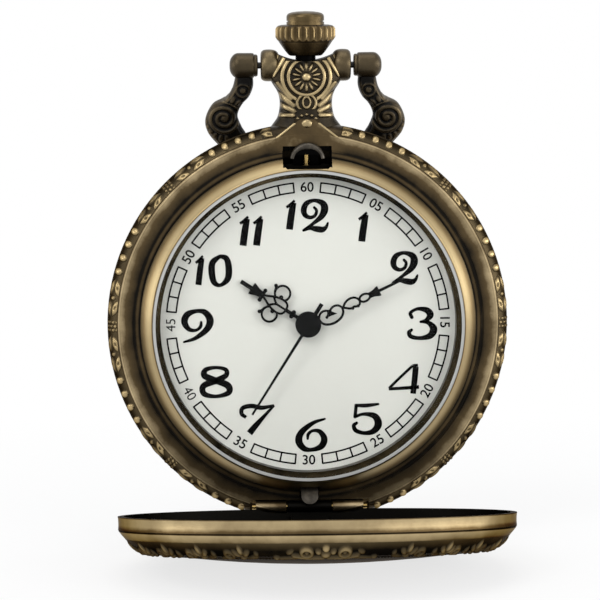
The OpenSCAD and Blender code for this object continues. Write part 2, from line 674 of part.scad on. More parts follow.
// a cubic curve through its two ends, and a flat ribbon that follows a path
function curve(a, b, c, d, n = 12) = [for (i = [0 : n]) let (t = i / n, u = 1 - t)
    u * u * u * a + 3 * u * u * t * b + 3 * u * t * t * c + t * t * t * d];
function arc(c, r, from, to, n = 24) = [for (i = [0 : n]) c + polar(r, from + (to - from) * i / n)];
function beside(path, w) = [for (i = [0 : len(path) - 1])
    let (way = path[min(i + 1, len(path) - 1)] - path[max(i - 1, 0)])
    path[i] + w * [-way[1], way[0]] / norm(way)];
function backwards(path) = [for (i = [len(path) - 1 : -1 : 0]) path[i]];
module ribbon_2d(path, w) {
    polygon(concat(beside(path, -w / 2), backwards(beside(path, w / 2))));
    for (p = [path[0], path[len(path) - 1]]) translate(p) circle(r = w / 2, $fn = 24);
}
module bead_2d(x, y, r) translate([x, y]) circle(r = r, $fn = 32);
module both_sides() {
    children();
    mirror([1, 0, 0]) children();
}
module flat() linear_extrude(hand_t) children();
// solid vase with hollowed sides, from a narrow foot to a wide lip
module vase_2d(y0, y1, w0, w1) {
    side = curve([w0, y0], [w0, (y0 + y1) / 2], [w1 - 0.1, y1 - 0.45], [w1, y1 - 0.12], 8);
    polygon(concat(side, [[w1, y1], [-w1, y1]], [for (p = backwards(side)) [-p[0], p[1]]]));
}

module hour_hand() color("#111111") upright() rotate(-hour_turn) translate([0, 0, hour_h]) difference() {
    union() {
        flat() {
            circle(r = hub_r, $fn = 64);
            // stalk with a cross bead
            translate([-0.18, 1.2]) square([0.36, 2]);
            translate([-0.28, 2.03]) square([0.56, 0.3]);
            // middle line of the heart, cross bar, vase and tip
            translate([-0.08, 3]) square([0.16, 1.5]);
            translate([-0.64, 6.22]) square([1.28, 0.3]);
            vase_2d(6.45, 7.86, 0.35, 0.68);
            translate([-0.21, 7.7]) square([0.42, hour_len - 7.7]);
        }
        both_sides() flat() {
            bead_2d(0.28, 2.18, 0.2);
            // lobe of the heart, and the diamond above it
            ribbon_2d(curve([0.02, 3.14], [0.98, 3.05], [0.98, 4.1], [0.6, 5.12]), hand_line);
            ribbon_2d(curve([0, 4.36], [0.12, 4.7], [0.4, 4.95], [0.6, 5.16]), hand_line);
            ribbon_2d(curve([0.6, 5.12], [0.42, 5.5], [0.16, 5.95], [0.08, 6.35]), hand_line);
            // side ring, open at the heart, with a bead inside and a horn above
            ribbon_2d(arc([1.43, 4.49], 0.9, 150, -126), hand_line);
            bead_2d(0.96, 4.38, 0.19);
            ribbon_2d(curve([1.15, 5.36], [1.35, 5.42], [1.6, 5.45], [1.8, 5.66]), 0.2);
            bead_2d(1.8, 5.64, 0.17);
            bead_2d(0.64, 6.37, 0.18);
        }
    }
    disc(hour_tube_r, 2, -1);
}

module minute_hand() color("#111111") upright() rotate(-minute_turn) translate([0, 0, minute_h]) {
    difference() {
        union() {
            flat() {
                circle(r = hub_r, $fn = 64);
                // first loop: a wide right side, two left lobes, and a spur between them
                ribbon_2d(curve([0.1, 1.42], [0.75, 1.4], [1.12, 2.1], [1.13, 2.85]), hand_line + 0.02);
                ribbon_2d(curve([1.13, 2.85], [1.12, 3.7], [0.7, 4.42], [0, 4.42]), hand_line + 0.02);
                ribbon_2d(curve([0, 4.42], [-0.6, 4.4], [-0.95, 3.5], [-0.38, 3.02]), hand_line);
                ribbon_2d(curve([-0.2, 1.5], [-0.75, 1.75], [-0.8, 2.4], [-0.42, 2.82]), hand_line);
                polygon([[-0.5, 2.72], [-0.1, 2.52], [0.18, 2.2], [0.16, 2.9], [0.26, 3.56], [-0.2, 3.1],
                    [-0.52, 2.98]]);
                bead_2d(0.16, 2.32, 0.12);
                // second loop, with two beads on its right side
                ribbon_2d(curve([0, 4.5], [-0.95, 5.2], [-0.8, 6.4], [-0.05, 6.6], 16), hand_line);
                ribbon_2d(curve([0, 4.5], [0.1, 5], [0.62, 5.1], [0.4, 5.75]), hand_line);
                ribbon_2d(curve([0.4, 5.75], [0.62, 6.1], [0.6, 6.6], [-0.05, 6.62]), hand_line);
                bead_2d(0.5, 5.52, 0.14);
                bead_2d(0.54, 6.2, 0.14);
                // vase and needle
                vase_2d(7.9, 9.17, 0.29, 0.55);
                polygon([[0.14, 9], [0.1, minute_len], [-0.1, minute_len], [-0.14, 9]]);
            }
            // third loop
            both_sides() flat()
                ribbon_2d(curve([0, 6.66], [0.56, 6.75], [0.56, 7.75], [0.06, 7.98]), hand_line);
        }
        disc(tube_r, 2, -1);
    }
    ring(1.0, tube_r, 0.07, hand_t);
}

module second_hand() color("#111111") upright() rotate(-second_turn) difference() {
    union() {
        translate([0, 0, second_h]) linear_extrude(0.12) {
            polygon([[0.14, 0], [0.09, second_len], [-0.09, second_len], [-0.14, 0]]);
            translate([-0.2, -second_tail]) square([0.4, second_tail]);
            circle(r = 0.42, $fn = 48);
        }
        disc(0.3, 0.3, second_h - 0.12);
    }
    disc(arbor_r, 0.25, second_h - 0.2);
}

// ---------------------------------------------------------------- movement

module dial() color("#e9e9e4") upright() ring(dial_r, 0.85, 0.4, dial_back);

module cannon_pinion() color("#c9a24d") upright() difference() {
    union() {
        translate([0, 0, plate_front + 0.08]) linear_extrude(0.5) pinion_2d(m_motion, 10, 0);
        ring(tube_r, 0.2, minute_h + hand_t + 0.05 - plate_back + 0.4, plate_back - 0.4);
    }
    disc(arbor_r + 0.05, 40);
}

module centre_wheel() color("#c9a24d") upright() translate([0, 0, plate_back + level[0]])
    linear_extrude(wheel_t) difference() {
        wheel_2d(m_centre, centre_teeth, mesh(0, leaves, centre_teeth, third_at + 180));
        for (i = [0 : 4]) rotate(i * 72 + 20) translate([1.65, 0]) circle(r = 0.72, $fn = 32);
        circle(r = tube_r, $fn = 32);
    }

module seconds_wheel() color("#c9a24d") upright() {
    disc(arbor_r, second_h + 0.05 - bridge_h - 0.05, bridge_h + 0.05);
    spoked(m_second, seconds_teeth, mesh(0, leaves, seconds_teeth, fifth_at + 180), 4, 0.6,
        plate_back + level[2]);
    leaf_pinion(m_third, leaves, plate_back + level[1] - 0.06, pinion_t, arbor_r);
}

module third_wheel() color("#c9a24d") upright() translate([third_p[0], third_p[1], 0]) {
    disc(arbor_r, plate_back + 0.6 - bridge_h - 0.05, bridge_h + 0.05);
    spoked(m_third, third_teeth, mesh(0, leaves, third_teeth, third_at), 4, 0.5, plate_back + level[1]);
    leaf_pinion(m_centre, leaves, plate_back + level[0] - 0.06, pinion_t, arbor_r);
}

module fifth_wheel() color("#c9a24d") upright() translate([fifth_p[0], fifth_p[1], 0]) {
    disc(arbor_r, plate_back + 0.6 - bridge_h - 0.05, bridge_h + 0.05);
    spoked(m_fifth, fifth_teeth, mesh(0, leaves, fifth_teeth, rotor_at + 180), 4, 0.45,
        plate_back + level[3]);
    leaf_pinion(m_second, leaves, plate_back + level[2] - 0.06, pinion_t, arbor_r);
}

module rotor_magnet() color("#6f7378") upright() translate([rotor_p[0], rotor_p[1], 0])
    ring(1.3, arbor_r, 0.7, plate_back - 0.85);

module rotor_pinion() color("#ded9cc") upright() translate([rotor_p[0], rotor_p[1], 0]) {
    disc(arbor_r, plate_back + 0.6 - bridge_h - 0.05, bridge_h + 0.05);
    translate([0, 0, plate_back + level[3] - 0.06]) linear_extrude(pinion_t) difference() {
        pinion_2d(m_fifth, leaves, 0);
        circle(r = arbor_r, $fn = 32);
    }
}

module minute_wheel() color("#c9a24d") upright() translate([minute_p[0], minute_p[1], 0]) {
    translate([0, 0, plate_front + 0.1]) linear_extrude(0.2) difference() {
        wheel_2d(m_motion, 30, mesh(0, 10, 30, 90));
        circle(r = 0.2, $fn = 32);
    }
    leaf_pinion(m_motion, leaves, plate_front + 0.3, 0.3, 0.2);
}

module hour_wheel() color("#c9a24d") upright() {
    translate([0, 0, plate_front + 0.36]) linear_extrude(0.22) difference() {
        wheel_2d(m_motion, 32, mesh(0, leaves, 32, -90));
        circle(r = hour_tube_r, $fn = 48);
    }
    ring(hour_tube_r, tube_r + 0.05 + 0.11, hour_h + hand_t + 0.05 - plate_front - 0.7, plate_front + 0.7);
    ring(hour_tube_r, 0.68, 0.4, plate_front + 0.36);
}

module main_plate() color("#d8d3c4") upright() difference() {
    union() {
        disc(plate_r, 1, plate_back);
        ring(plate_r, plate_r - 0.8, plate_back - bridge_h, bridge_h);
        // blocks that carry the stem
        translate([-1.3, 8.45, stem_h - 0.8]) cube([2.6, 1.25, 0.8]);
        translate([-1.3, 12.05, stem_h - 0.8]) cube([2.6, 0.7, 0.8]);
        translate([-1.0, 5.55, stem_h - 0.8]) cube([2.0, 0.9, 0.8]);
        // pillars for the bridge
        peg(-5.9, -5.0, bridge_h + bridge_t, 0.8, 2);
        peg(6.2, -2.6, bridge_h + bridge_t, 0.8, 2);
        peg(3.4, 4.2, bridge_h + bridge_t, 0.8, 2);
        // posts for the setting lever and the yoke
        peg(2.3, 10.9, stem_h - 1.5, 0.3, 1.5);
        peg(-2.9, 9.3, stem_h - 1.5, 0.27, 1.5);
        // studs for the minute wheel and the setting wheel
        peg(minute_p[0], minute_p[1], plate_front - 0.1, 0.16, 0.72);
        peg(setting_p[0], setting_p[1], plate_front - 0.1, 0.26, 0.5);
    }
    disc(tube_r + 0.05, 9);
    for (p = [third_p, fifth_p, rotor_p]) peg(p[0], p[1], 0, arbor_r + 0.03, plate_back + 0.65);
    translate([0, 0, stem_h]) rotate([-90, 0, 0]) {
        translate([0, 0, 5]) cylinder(r = 0.28, h = 2, $fn = 32);
        translate([0, 0, 8.3]) cylinder(r = 0.5, h = 9, $fn = 32);
    }
    // window for the clutch and clearance for the stem's collars
    translate([-1.15, 6.42, 0]) cube([2.3, 2.03, 9]);
    translate([-0.85, 9.68, 0]) cube([1.7, 2.4, stem_h + 0.8]);
}

module train_bridge() color("#cfcabb") upright() difference() {
    translate([0, 0, bridge_h]) linear_extrude(bridge_t) {
        hull() {
            translate([-5.9, -5.0]) circle(r = 1.1, $fn = 32);
            translate([third_p[0], third_p[1]]) circle(r = 1.3, $fn = 32);
            translate([rotor_p[0], rotor_p[1]]) circle(r = 1.2, $fn = 32);
        }
        hull() {
            translate([third_p[0], third_p[1]]) circle(r = 1.3, $fn = 32);
            translate([3.4, 4.2]) circle(r = 1.1, $fn = 32);
            translate([6.2, -2.6]) circle(r = 1.1, $fn = 32);
            translate([rotor_p[0], rotor_p[1]]) circle(r = 1.2, $fn = 32);
        }
    }
    for (p = [[0, 0], third_p, fifth_p, rotor_p]) peg(p[0], p[1], 0, arbor_r + 0.03, 9);
}

module movement_screws() color("#8d95a0") upright() for (p = [[-5.9, -5.0], [6.2, -2.6], [3.4, 4.2]])
    difference() {
        peg(p[0], p[1], bridge_h - 0.3, 0.6, 0.3);
        translate([p[0] - 1, p[1] - 0.08, bridge_h - 0.4]) cube([2, 0.16, 0.22]);
    }

module movement_ring() color("#e2e0da") upright() difference() {
    ring(bore_r - 0.06, plate_r + 0.04, dial_back - back_h - 0.55, back_h + 0.53);
    translate([0, 0, stem_h]) rotate([-90, 0, 0]) cylinder(r = 0.7, h = 40, $fn = 32);
    translate([-1.2, -bore_r - 1, 0]) cube([2.4, 1.8, 20]);
    // groove for the two bent bars
    difference() {
        disc(bore_r + 1, 1.5, back_h + 0.7);
        disc(bore_r - 0.85, 1.5, back_h + 0.7);
    }
    // lightening pockets from the back
    for (i = [0 : 7]) rotate(i * 45 + 22.5) translate([(bore_r + plate_r) / 2, 0, back_h])
        cylinder(r = (bore_r - plate_r) / 2 - 1.1, h = 2.3, $fn = 32);
}

module stator() color("#a7adb3") upright() translate([rotor_p[0], rotor_p[1], plate_back - 0.72])
    linear_extrude(0.45) difference() {
        union() {
            circle(r = 2.15, $fn = 64);
            // arms that reach down to the coil's core
            polygon([[-1.9, -0.6], [-5.5, -2.9], [-5.5, -5.2], [-3.8, -5.2], [-3.8, -3.5], [-0.6, -1.9]]);
            polygon([[0.6, -1.9], [3, -3.5], [3, -4.9], [4.4, -4.5], [4.6, -2.5], [1.9, -0.6]]);
        }
        circle(r = 1.55, $fn = 48);
        // two notches that set the rotor's rest position
        for (a = [35, 215]) rotate(a) translate([1.55, 0]) circle(r = 0.22, $fn = 24);
    }

module coil_core() color("#8b9096") upright() translate([0, 0, plate_back - 1.2]) linear_extrude(0.45)
    polygon([[-2.8, -9.3], [-2.8, -10.2], [6.6, -10.2], [6.9, -9.3]]);

module coil() color("#a5562a") upright() difference() {
    union() {
        translate([-1.0, -9.75, plate_back - 1.0]) rotate([0, 90, 0]) cylinder(r = 0.85, h = 6.4, $fn = 64);
        for (x = [-1.1, 5.2]) translate([x, -9.75, plate_back - 1.0]) rotate([0, 90, 0])
            cylinder(r = 0.95, h = 0.3, $fn = 64);
    }
    translate([-3, -10.22, plate_back - 1.22]) cube([12, 0.94, 0.49]);
}

module circuit_board() color("#1f6b3a") upright() difference() {
    translate([0, 0, plate_back - 2.45]) linear_extrude(0.2) intersection() {
        circle(r = plate_r - 1, $fn = 96);
        translate([4.2, -8]) square([9, 16]);
    }
    peg(6.2, -2.6, 0, 1.3, 9);
}

module quartz_can() color("#c8ccd0") upright() translate([can_p[0] + 0.4, can_p[1] + 1.2, plate_back - 1.15])
    rotate([-90, 0, 0]) {
        cylinder(r = 0.95, h = 5.4, $fn = 48);
        for (s = [-1, 1]) translate([s * 0.35, 0, -1.2]) cylinder(r = 0.13, h = 1.3, $fn = 16);
    }

module battery() color("#c8ccd0") upright() translate([battery_p[0], battery_p[1], battery_h])
    rotate_extrude($fn = 96) difference() {
        square([battery_r, 2.6]);
        translate([battery_r - 0.35, -1]) square([1, 1.25]);
    }

module battery_clamp() color("#d4c27a") upright() translate([battery_p[0], battery_p[1], battery_h - 0.2]) {
    linear_extrude(0.18) {
        translate([-3, -0.8]) square([6, 1.6]);
        circle(r = 1.5, $fn = 32);
    }
}

case_middle();
case_back();
back_gasket();
bezel();
crystal();
crystal_gasket();
pendant();
pendant_tube();
hinge_pin();
front_cover();
lift_spring();
lift_tongue();
latch_spring();
latch();
bow();
bow_pins();
crown();
crown_gasket();
crown_button();
push_collar();
button_spring();
stem();
clutch();
dial();
hour_hand();
minute_hand();
second_hand();
cannon_pinion();
centre_wheel();
seconds_wheel();
third_wheel();
fifth_wheel();
rotor_magnet();
rotor_pinion();
minute_wheel();
hour_wheel();
setting_wheel();
setting_lever();
yoke();
main_plate();
train_bridge();
movement_ring();
stator();
coil();
coil_core();
circuit_board();
quartz_can();
battery();
battery_clamp();
movement_screws();
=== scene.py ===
# %% [markdown]
# # A hunter pocket watch in antiqued bronze
#
# This lesson dresses a finished mechanical model. The case, hinge, crown, hands and gear train come
# from the construction model, at their real size and in the places where they work. What is made here
# is what a casting shop, a plater, a dial printer and a polisher add: embossing, patina, print, glass.
#
# Lengths are millimetres in the code and metres in the scene. The watch is upright: X points to
# 3 o'clock, Z to 12 o'clock, and the dial faces -Y. The origin is the middle of the case back.

# %% Load the frame and keep its box
import math
from functools import reduce

import bmesh
import bpy
import numpy as np
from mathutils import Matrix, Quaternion, Vector


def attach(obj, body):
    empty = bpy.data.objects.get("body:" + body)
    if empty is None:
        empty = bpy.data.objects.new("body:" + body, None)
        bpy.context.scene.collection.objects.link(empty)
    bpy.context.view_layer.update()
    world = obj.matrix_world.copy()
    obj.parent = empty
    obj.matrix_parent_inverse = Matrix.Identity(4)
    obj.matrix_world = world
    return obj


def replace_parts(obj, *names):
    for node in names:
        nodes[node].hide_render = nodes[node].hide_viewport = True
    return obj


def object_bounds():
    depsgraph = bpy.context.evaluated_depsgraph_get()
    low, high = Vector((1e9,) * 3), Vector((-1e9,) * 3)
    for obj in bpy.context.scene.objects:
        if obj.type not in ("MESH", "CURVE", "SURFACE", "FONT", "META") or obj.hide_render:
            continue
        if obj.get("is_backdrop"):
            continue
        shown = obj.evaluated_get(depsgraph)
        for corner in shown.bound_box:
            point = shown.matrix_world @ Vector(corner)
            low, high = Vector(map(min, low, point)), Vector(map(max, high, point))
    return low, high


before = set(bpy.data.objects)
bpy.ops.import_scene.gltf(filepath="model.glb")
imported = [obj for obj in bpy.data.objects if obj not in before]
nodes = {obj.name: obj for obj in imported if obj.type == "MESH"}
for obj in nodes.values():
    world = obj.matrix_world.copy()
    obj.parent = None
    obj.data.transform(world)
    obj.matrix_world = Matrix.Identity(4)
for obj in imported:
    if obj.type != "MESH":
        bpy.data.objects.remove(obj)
cad_low, cad_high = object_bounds()
MM = 0.001
print("nodes", len(nodes), "box", [round(v / MM, 2) for v in (*cad_low, *cad_high)])

# %% [markdown]
# ## Helpers
#
# A few small functions carry the whole lesson. Pieces are thought of as lying flat on a bench, with
# `up` towards 12 o'clock and `out` towards the reader, and the first function stands them up. Almost
# every piece is a stack of loops, like the rings of a vase, so one function turns such a grid of
# points into a closed skin. The last one adds a shader node.


# %% Place a flat drawing into the upright watch
def upright(x, up, out):
    """World position in metres: x stays, up becomes Z, and out (towards the reader) becomes -Y."""
    x, up, out = np.broadcast_arrays(x, up, out)
    return np.stack([x, -out, up], axis=-1) * MM


def around(radius, clock, out):
    """A point at a radius and a clock angle in degrees, clockwise from 12, at a height above the back."""
    angle = np.radians(clock)
    return upright(radius * np.sin(angle), radius * np.cos(angle), out)


def full_turn(count):
    """A row of angles, count even steps once round, in radians."""
    return np.linspace(0, 2 * math.pi, count, endpoint=False)[None, :]


# %% Turn points and faces into a mesh piece
def mesh_piece(name, points, faces, body, material, smooth=True, height=None):
    """A mesh from points (n, 3) and quads or triangles (m, k), with a height per point for its tone.

    The pieces are closed, so the sum of a . (b x c) over their triangles is six times their volume. Where
    it is negative the faces look inwards, and their corners are put in the other order.
    """
    mesh = bpy.data.meshes.new(name)
    points = np.asarray(points, np.float32).reshape(-1, 3)
    faces = np.asarray(faces, np.int32)
    corner = (points - points.mean(0)).astype(float)[faces]
    volume = sum(
        np.einsum("ij,ij->", corner[:, 0], np.cross(corner[:, k], corner[:, k + 1]))
        for k in range(1, faces.shape[1] - 1)
    )
    if volume < 0:
        faces = np.ascontiguousarray(faces[:, ::-1])
    count, sides = faces.shape
    mesh.vertices.add(len(points))
    mesh.vertices.foreach_set("co", points.ravel())
    mesh.loops.add(count * sides)
    mesh.loops.foreach_set("vertex_index", faces.ravel())
    mesh.polygons.add(count)
    mesh.polygons.foreach_set("loop_start", np.arange(count, dtype=np.int32) * sides)
    mesh.polygons.foreach_set("use_smooth", np.full(count, smooth))
    if height is not None:
        layer = mesh.attributes.new("height", "FLOAT", "POINT")
        layer.data.foreach_set("value", np.asarray(height, np.float32).ravel())
    mesh.update(calc_edges=True)
    mesh.validate()
    piece = bpy.data.objects.new(name, mesh)
    bpy.context.scene.collection.objects.link(piece)
    mesh.materials.append(material)
    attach(piece, body)
    return piece


def quads(rows, columns):
    """Quads between stacked loops of points, stored row by row; a loop's last point joins its first."""
    row, here = np.meshgrid(np.arange(rows - 1) * columns, np.arange(columns), indexing="ij")
    after = (here + 1) % columns
    corners = [row + here, row + after, row + columns + after, row + columns + here]
    return np.stack(corners, axis=-1).reshape(-1, 4)


def carved_piece(name, points, body, material, height):
    """A closed bronze skin over a grid of points whose rows are loops, with a height for its tone."""
    height = np.broadcast_to(height, points.shape[:2])
    return mesh_piece(name, points, quads(*height.shape), body, material, height=height)


# %% Colours and shader nodes
def linear(code):
    """A linear RGBA colour from an sRGB hex value: c/12.92 below 0.04045, else ((c+0.055)/1.055)^2.4."""
    parts = [int(code[i : i + 2], 16) / 255 for i in (1, 3, 5)]
    return [*(c / 12.92 if c <= 0.04045 else ((c + 0.055) / 1.055) ** 2.4 for c in parts), 1.0]


def add(tree, kind, inputs=None, **settings):
    """Adds a node; settings are its properties or socket values.

    inputs gives sockets by name or number a value or a link, and a node stands for its first output.
    """
    node = tree.nodes.new(kind)
    for key, value in settings.items():
        if hasattr(node, key):
            setattr(node, key, value)
        else:
            node.inputs[key.replace("_", " ")].default_value = value
    for key, value in (inputs or {}).items():
        if isinstance(value, bpy.types.Node):
            value = value.outputs[0]
        if isinstance(value, bpy.types.NodeSocket):
            tree.links.new(value, node.inputs[key])
        else:
            node.inputs[key].default_value = value
    return node


# %% [markdown]
# ## Metals
#
# The case is a zinc and copper casting, plated with bronze, darkened with liver of sulphur and then
# relieved: a buffing wheel takes the dark skin off whatever stands high. So one recipe serves every
# cast piece. A height value says what stands proud, cloudy noise breaks it up as hand work does, and
# the result mixes a near-black sulphide, a brown oxide and the golden metal.


# %% What every surface shares
def surface(name, grain_mm, grain, detail, strength):
    """A new material with a grain: noise, grain_mm wide and grain mm deep, that tilts the normal a little."""
    material = bpy.data.materials.new(name)
    material.use_nodes = True
    tree = material.node_tree
    shader = tree.nodes["Principled BSDF"]
    place = add(tree, "ShaderNodeTexCoord")
    fine = add(tree, "ShaderNodeTexNoise", {"Vector": place.outputs["Object"]},
               Scale=1 / (grain_mm * MM), Detail=detail)
    bump = add(tree, "ShaderNodeBump", {"Height": fine}, Strength=strength, Distance=grain * MM)
    tree.links.new(bump.outputs["Normal"], shader.inputs["Normal"])
    return material, tree, shader, place


# %% One recipe for antiqued metal
GRAIN_MM, GRAIN = 0.25, 0.03  # a blasted grain is finer: this one is as coarse as it needs to show
DARK_UP_TO, LIGHT_FROM = 0.12, 0.88


def metal(name, colours, rough, cloud_mm, level, spread, zones=None):
    """An antiqued metal: its tone runs from dark through middle to light, by height plus cloudy noise.

    colours names these three, and rough goes from dark to light. level is the share of light on a surface,
    or None if its height values give that. spread is how far noise, in clouds cloud_mm wide, moves it. And
    zones is a function that returns a tone to add for each place of the piece.
    """
    material, tree, shader, place = surface(name, GRAIN_MM, GRAIN, detail=3.0, strength=0.35)
    shader.inputs["Metallic"].default_value = 1.0
    cloud = add(tree, "ShaderNodeTexNoise", {"Vector": place.outputs["Object"]},
                Scale=1 / (cloud_mm * MM), Detail=6.0, Roughness=0.62)
    lowest = (0.5 if level is None else level) - spread
    tone = add(tree, "ShaderNodeMath", {0: cloud, 1: 2 * spread, 2: lowest}, operation="MULTIPLY_ADD")
    if level is None:
        height = add(tree, "ShaderNodeAttribute", attribute_name="height").outputs["Fac"]
        tone = add(tree, "ShaderNodeMath", {0: height, 1: tone}, operation="ADD")
        tone = add(tree, "ShaderNodeMath", {0: tone, 1: 0.5}, operation="SUBTRACT")
    if zones:
        tone = add(tree, "ShaderNodeMath", {0: tone, 1: zones(tree, place)}, operation="ADD")
    ramp = add(tree, "ShaderNodeValToRGB", {"Fac": tone})
    ramp.color_ramp.elements.new(0.5)
    for stop, share, code in zip(ramp.color_ramp.elements, (DARK_UP_TO, 0.5, LIGHT_FROM), colours.split()):
        stop.position, stop.color = share, linear(code)
    tree.links.new(ramp.outputs["Color"], shader.inputs["Base Color"])
    shine = add(tree, "ShaderNodeMapRange", {"Value": tone}, To_Min=rough[0], To_Max=rough[1])
    tree.links.new(shine.outputs["Result"], shader.inputs["Roughness"])
    return material


# %% [markdown]
# ## Tones by place
#
# The case, bezel and cover have no carving of their own to darken. On them the tone follows the turned
# shape: it is dark in grooves and light on edges and bands, and painted shade makes the latch's window and
# the cover's inside near black. So a tone is given by place, with a distance from the hands' axis, a height
# over the cover's edge, or a box.


# %% Tones along a distance, and a box
def place_tone(tree, distance, span, stops):
    """A tone, -0.5 to 0.5, along a distance: stops pair a distance in mm, at most span, with a tone."""
    share = add(tree, "ShaderNodeMath", {0: distance, 1: 1 / (span * MM)}, operation="MULTIPLY")
    ramp = add(tree, "ShaderNodeValToRGB", {"Fac": share})
    while len(ramp.color_ramp.elements) < len(stops):
        ramp.color_ramp.elements.new(0.5)
    for stop, (mm, tone) in zip(ramp.color_ramp.elements, stops):
        stop.position = mm / span
        stop.color = (tone + 0.5, tone + 0.5, tone + 0.5, 1)
    return add(tree, "ShaderNodeMath", {0: ramp, 1: 0.5}, operation="SUBTRACT")


def in_box(tree, place, low, high):
    """1 inside a box of object coordinates in mm, else 0.

    Inside it the largest of |p - middle| - half size is below 0.
    """
    low, high = Vector(low) * MM, Vector(high) * MM
    over = place.outputs["Object"]
    for operation, value in (("SUBTRACT", (low + high) / 2), ("ABSOLUTE", (0, 0, 0)),
                             ("SUBTRACT", (high - low) / 2)):
        over = add(tree, "ShaderNodeVectorMath", {0: over, 1: value}, operation=operation)
    x, y, z = add(tree, "ShaderNodeSeparateXYZ", {"Vector": over}).outputs
    most = add(tree, "ShaderNodeMath", {0: x, 1: y}, operation="MAXIMUM")
    most = add(tree, "ShaderNodeMath", {0: most, 1: z}, operation="MAXIMUM")
    return add(tree, "ShaderNodeMath", {0: most, 1: 0.0}, operation="LESS_THAN")


# %% Tones round the hands' axis
CASE_SPAN = 26
PLATE_FROM, PLATE_TONE = 20.35, 0.04
PLATE_SLOPE, PLATE_PEAK = 1.316, 32.4  # the plate's upper edges are the lines slope * z + |x| = peak
PLATE_EVEN, PLATE_END = 2.6, 4.8  # mm to each side of 12, between which its tone is eased off


def by_radius(*stops):
    """Tones by the distance from the hands' axis: stops pair a radius in mm with a tone.

    Over the latch the seat widens into a peaked plate. That has one tone, which is eased off to its sides,
    and the latch's pocket in it is painted near black: painted shade.
    """
    def build(tree, place):
        flat = add(tree, "ShaderNodeMapping", {"Vector": place.outputs["Object"]}, Scale=(1, 0, 1))
        reach = add(tree, "ShaderNodeVectorMath", {0: flat}, operation="LENGTH").outputs["Value"]
        tone = place_tone(tree, reach, CASE_SPAN, stops)
        x, _, z = add(tree, "ShaderNodeSeparateXYZ", {"Vector": place.outputs["Object"]}).outputs
        across = add(tree, "ShaderNodeMath", {0: x}, operation="ABSOLUTE")
        lean = add(tree, "ShaderNodeMath", {0: z, 1: PLATE_SLOPE, 2: across}, operation="MULTIPLY_ADD")
        share = add(tree, "ShaderNodeMapRange", {"Value": across}, From_Min=PLATE_EVEN * MM,
                    From_Max=PLATE_END * MM, To_Min=1.0, To_Max=0.0)
        for value, way, limit in ((reach, "GREATER_THAN", PLATE_FROM), (z, "GREATER_THAN", 0),
                                  (lean, "LESS_THAN", PLATE_PEAK)):
            test = add(tree, "ShaderNodeMath", {0: value, 1: limit * MM}, operation=way)
            share = add(tree, "ShaderNodeMath", {0: share, 1: test}, operation="MULTIPLY")
        plate = add(tree, "ShaderNodeMix", {"Factor": share, "A": tone, "B": PLATE_TONE}, data_type="FLOAT")
        # painted shade: the latch's pocket, which lies in shadow, is made near black
        pocket = in_box(tree, place, (-2.9, -7.36, 17), (2.9, 0, 20.95))
        return add(tree, "ShaderNodeMath", {0: pocket, 1: -1.0, 2: plate}, operation="MULTIPLY_ADD")
    return build


def bezel_zones(tree, place):
    """The bezel's tone, mostly painted shade: dark on its inner step under the glass's edge, darker towards its
    outer edge where it rolls into the groove, and near black in the latch's window.
    """
    # painted shade: dark under the glass's edge, and darkening outwards into the groove
    ring = by_radius((0, -0.5), (18.26, -0.5), (18.32, 0), (18.7, 0.1), (19.0, -0.02), (19.3, -0.26),
                     (19.6, -0.45))
    # painted shade: the latch's window, in shadow, is made near black
    window = in_box(tree, place, (-2.87, -8.95, 17.9), (2.87, 0, 22))
    return add(tree, "ShaderNodeMath", {0: window, 1: -1.0, 2: ring(tree, place)}, operation="MULTIPLY_ADD")


def back_zones(tree, place):
    """The case back's tone: its own, with painted shade, near black, on the inside below the latch's window."""
    # painted shade: the floor under the latch's window is made near black
    floor = in_box(tree, place, (-3.1, -4.5, 16.5), (3.1, -2.05, 21.5))
    return add(tree, "ShaderNodeMath", {0: floor, 1: -1.0}, operation="MULTIPLY")


# %% Tones of the open cover
HINGE_UP, HINGE_OUT, OPEN = -21.5, 7.15, math.radians(82.4)
COVER_SPAN = 6
# tones up the cover's height, partly patina and partly painted reflection of what its curved band mirrors
COVER_STOPS = ((0.0, -0.1), (0.14, 0.24), (0.9, 0.2), (1.4, -0.05), (1.56, -0.45), (1.7, 0.3), (2.3, 0.16),
               (3.1, -0.28), (4.4, -0.32), (5.0, -0.12))


def cover_zones(tree, place):
    """Tones of the cover: painted shade inside, pale on the band, dark on the shoulder and brown on the dome. Its
    light and dark bands are partly patina and partly painted reflection.

    The height of a point over the cover's edge is its distance along the cover's own axis. The inside is
    where the normal looks back along that axis or in towards it.
    """
    axis = Vector((0, -math.cos(OPEN), -math.sin(OPEN)))
    hinge = Vector((0, -HINGE_OUT, HINGE_UP))
    edge_middle = (hinge + Vector((0, -math.sin(OPEN), math.cos(OPEN))) * -HINGE_UP + axis * 0.3) * MM
    along = add(tree, "ShaderNodeVectorMath", {0: place.outputs["Object"], 1: edge_middle},
                operation="SUBTRACT")
    height, facing, inward = (
        add(tree, "ShaderNodeVectorMath", {0: a, 1: b}, operation="DOT_PRODUCT").outputs["Value"]
        for a, b in ((along, axis), (place.outputs["Normal"], axis), (place.outputs["Normal"], along))
    )
    tone = place_tone(tree, height, COVER_SPAN, COVER_STOPS)
    back = add(tree, "ShaderNodeMath", {0: facing, 1: -0.5}, operation="LESS_THAN")
    side = add(tree, "ShaderNodeMath", {0: inward, 1: -1 * MM}, operation="LESS_THAN")
    # painted shade: the cover's inside, in shadow, is made dark
    inside = add(tree, "ShaderNodeMath", {0: back, 1: side}, operation="MAXIMUM")
    return add(tree, "ShaderNodeMath", {0: inside, 1: -1.0, 2: tone}, operation="MULTIPLY_ADD")


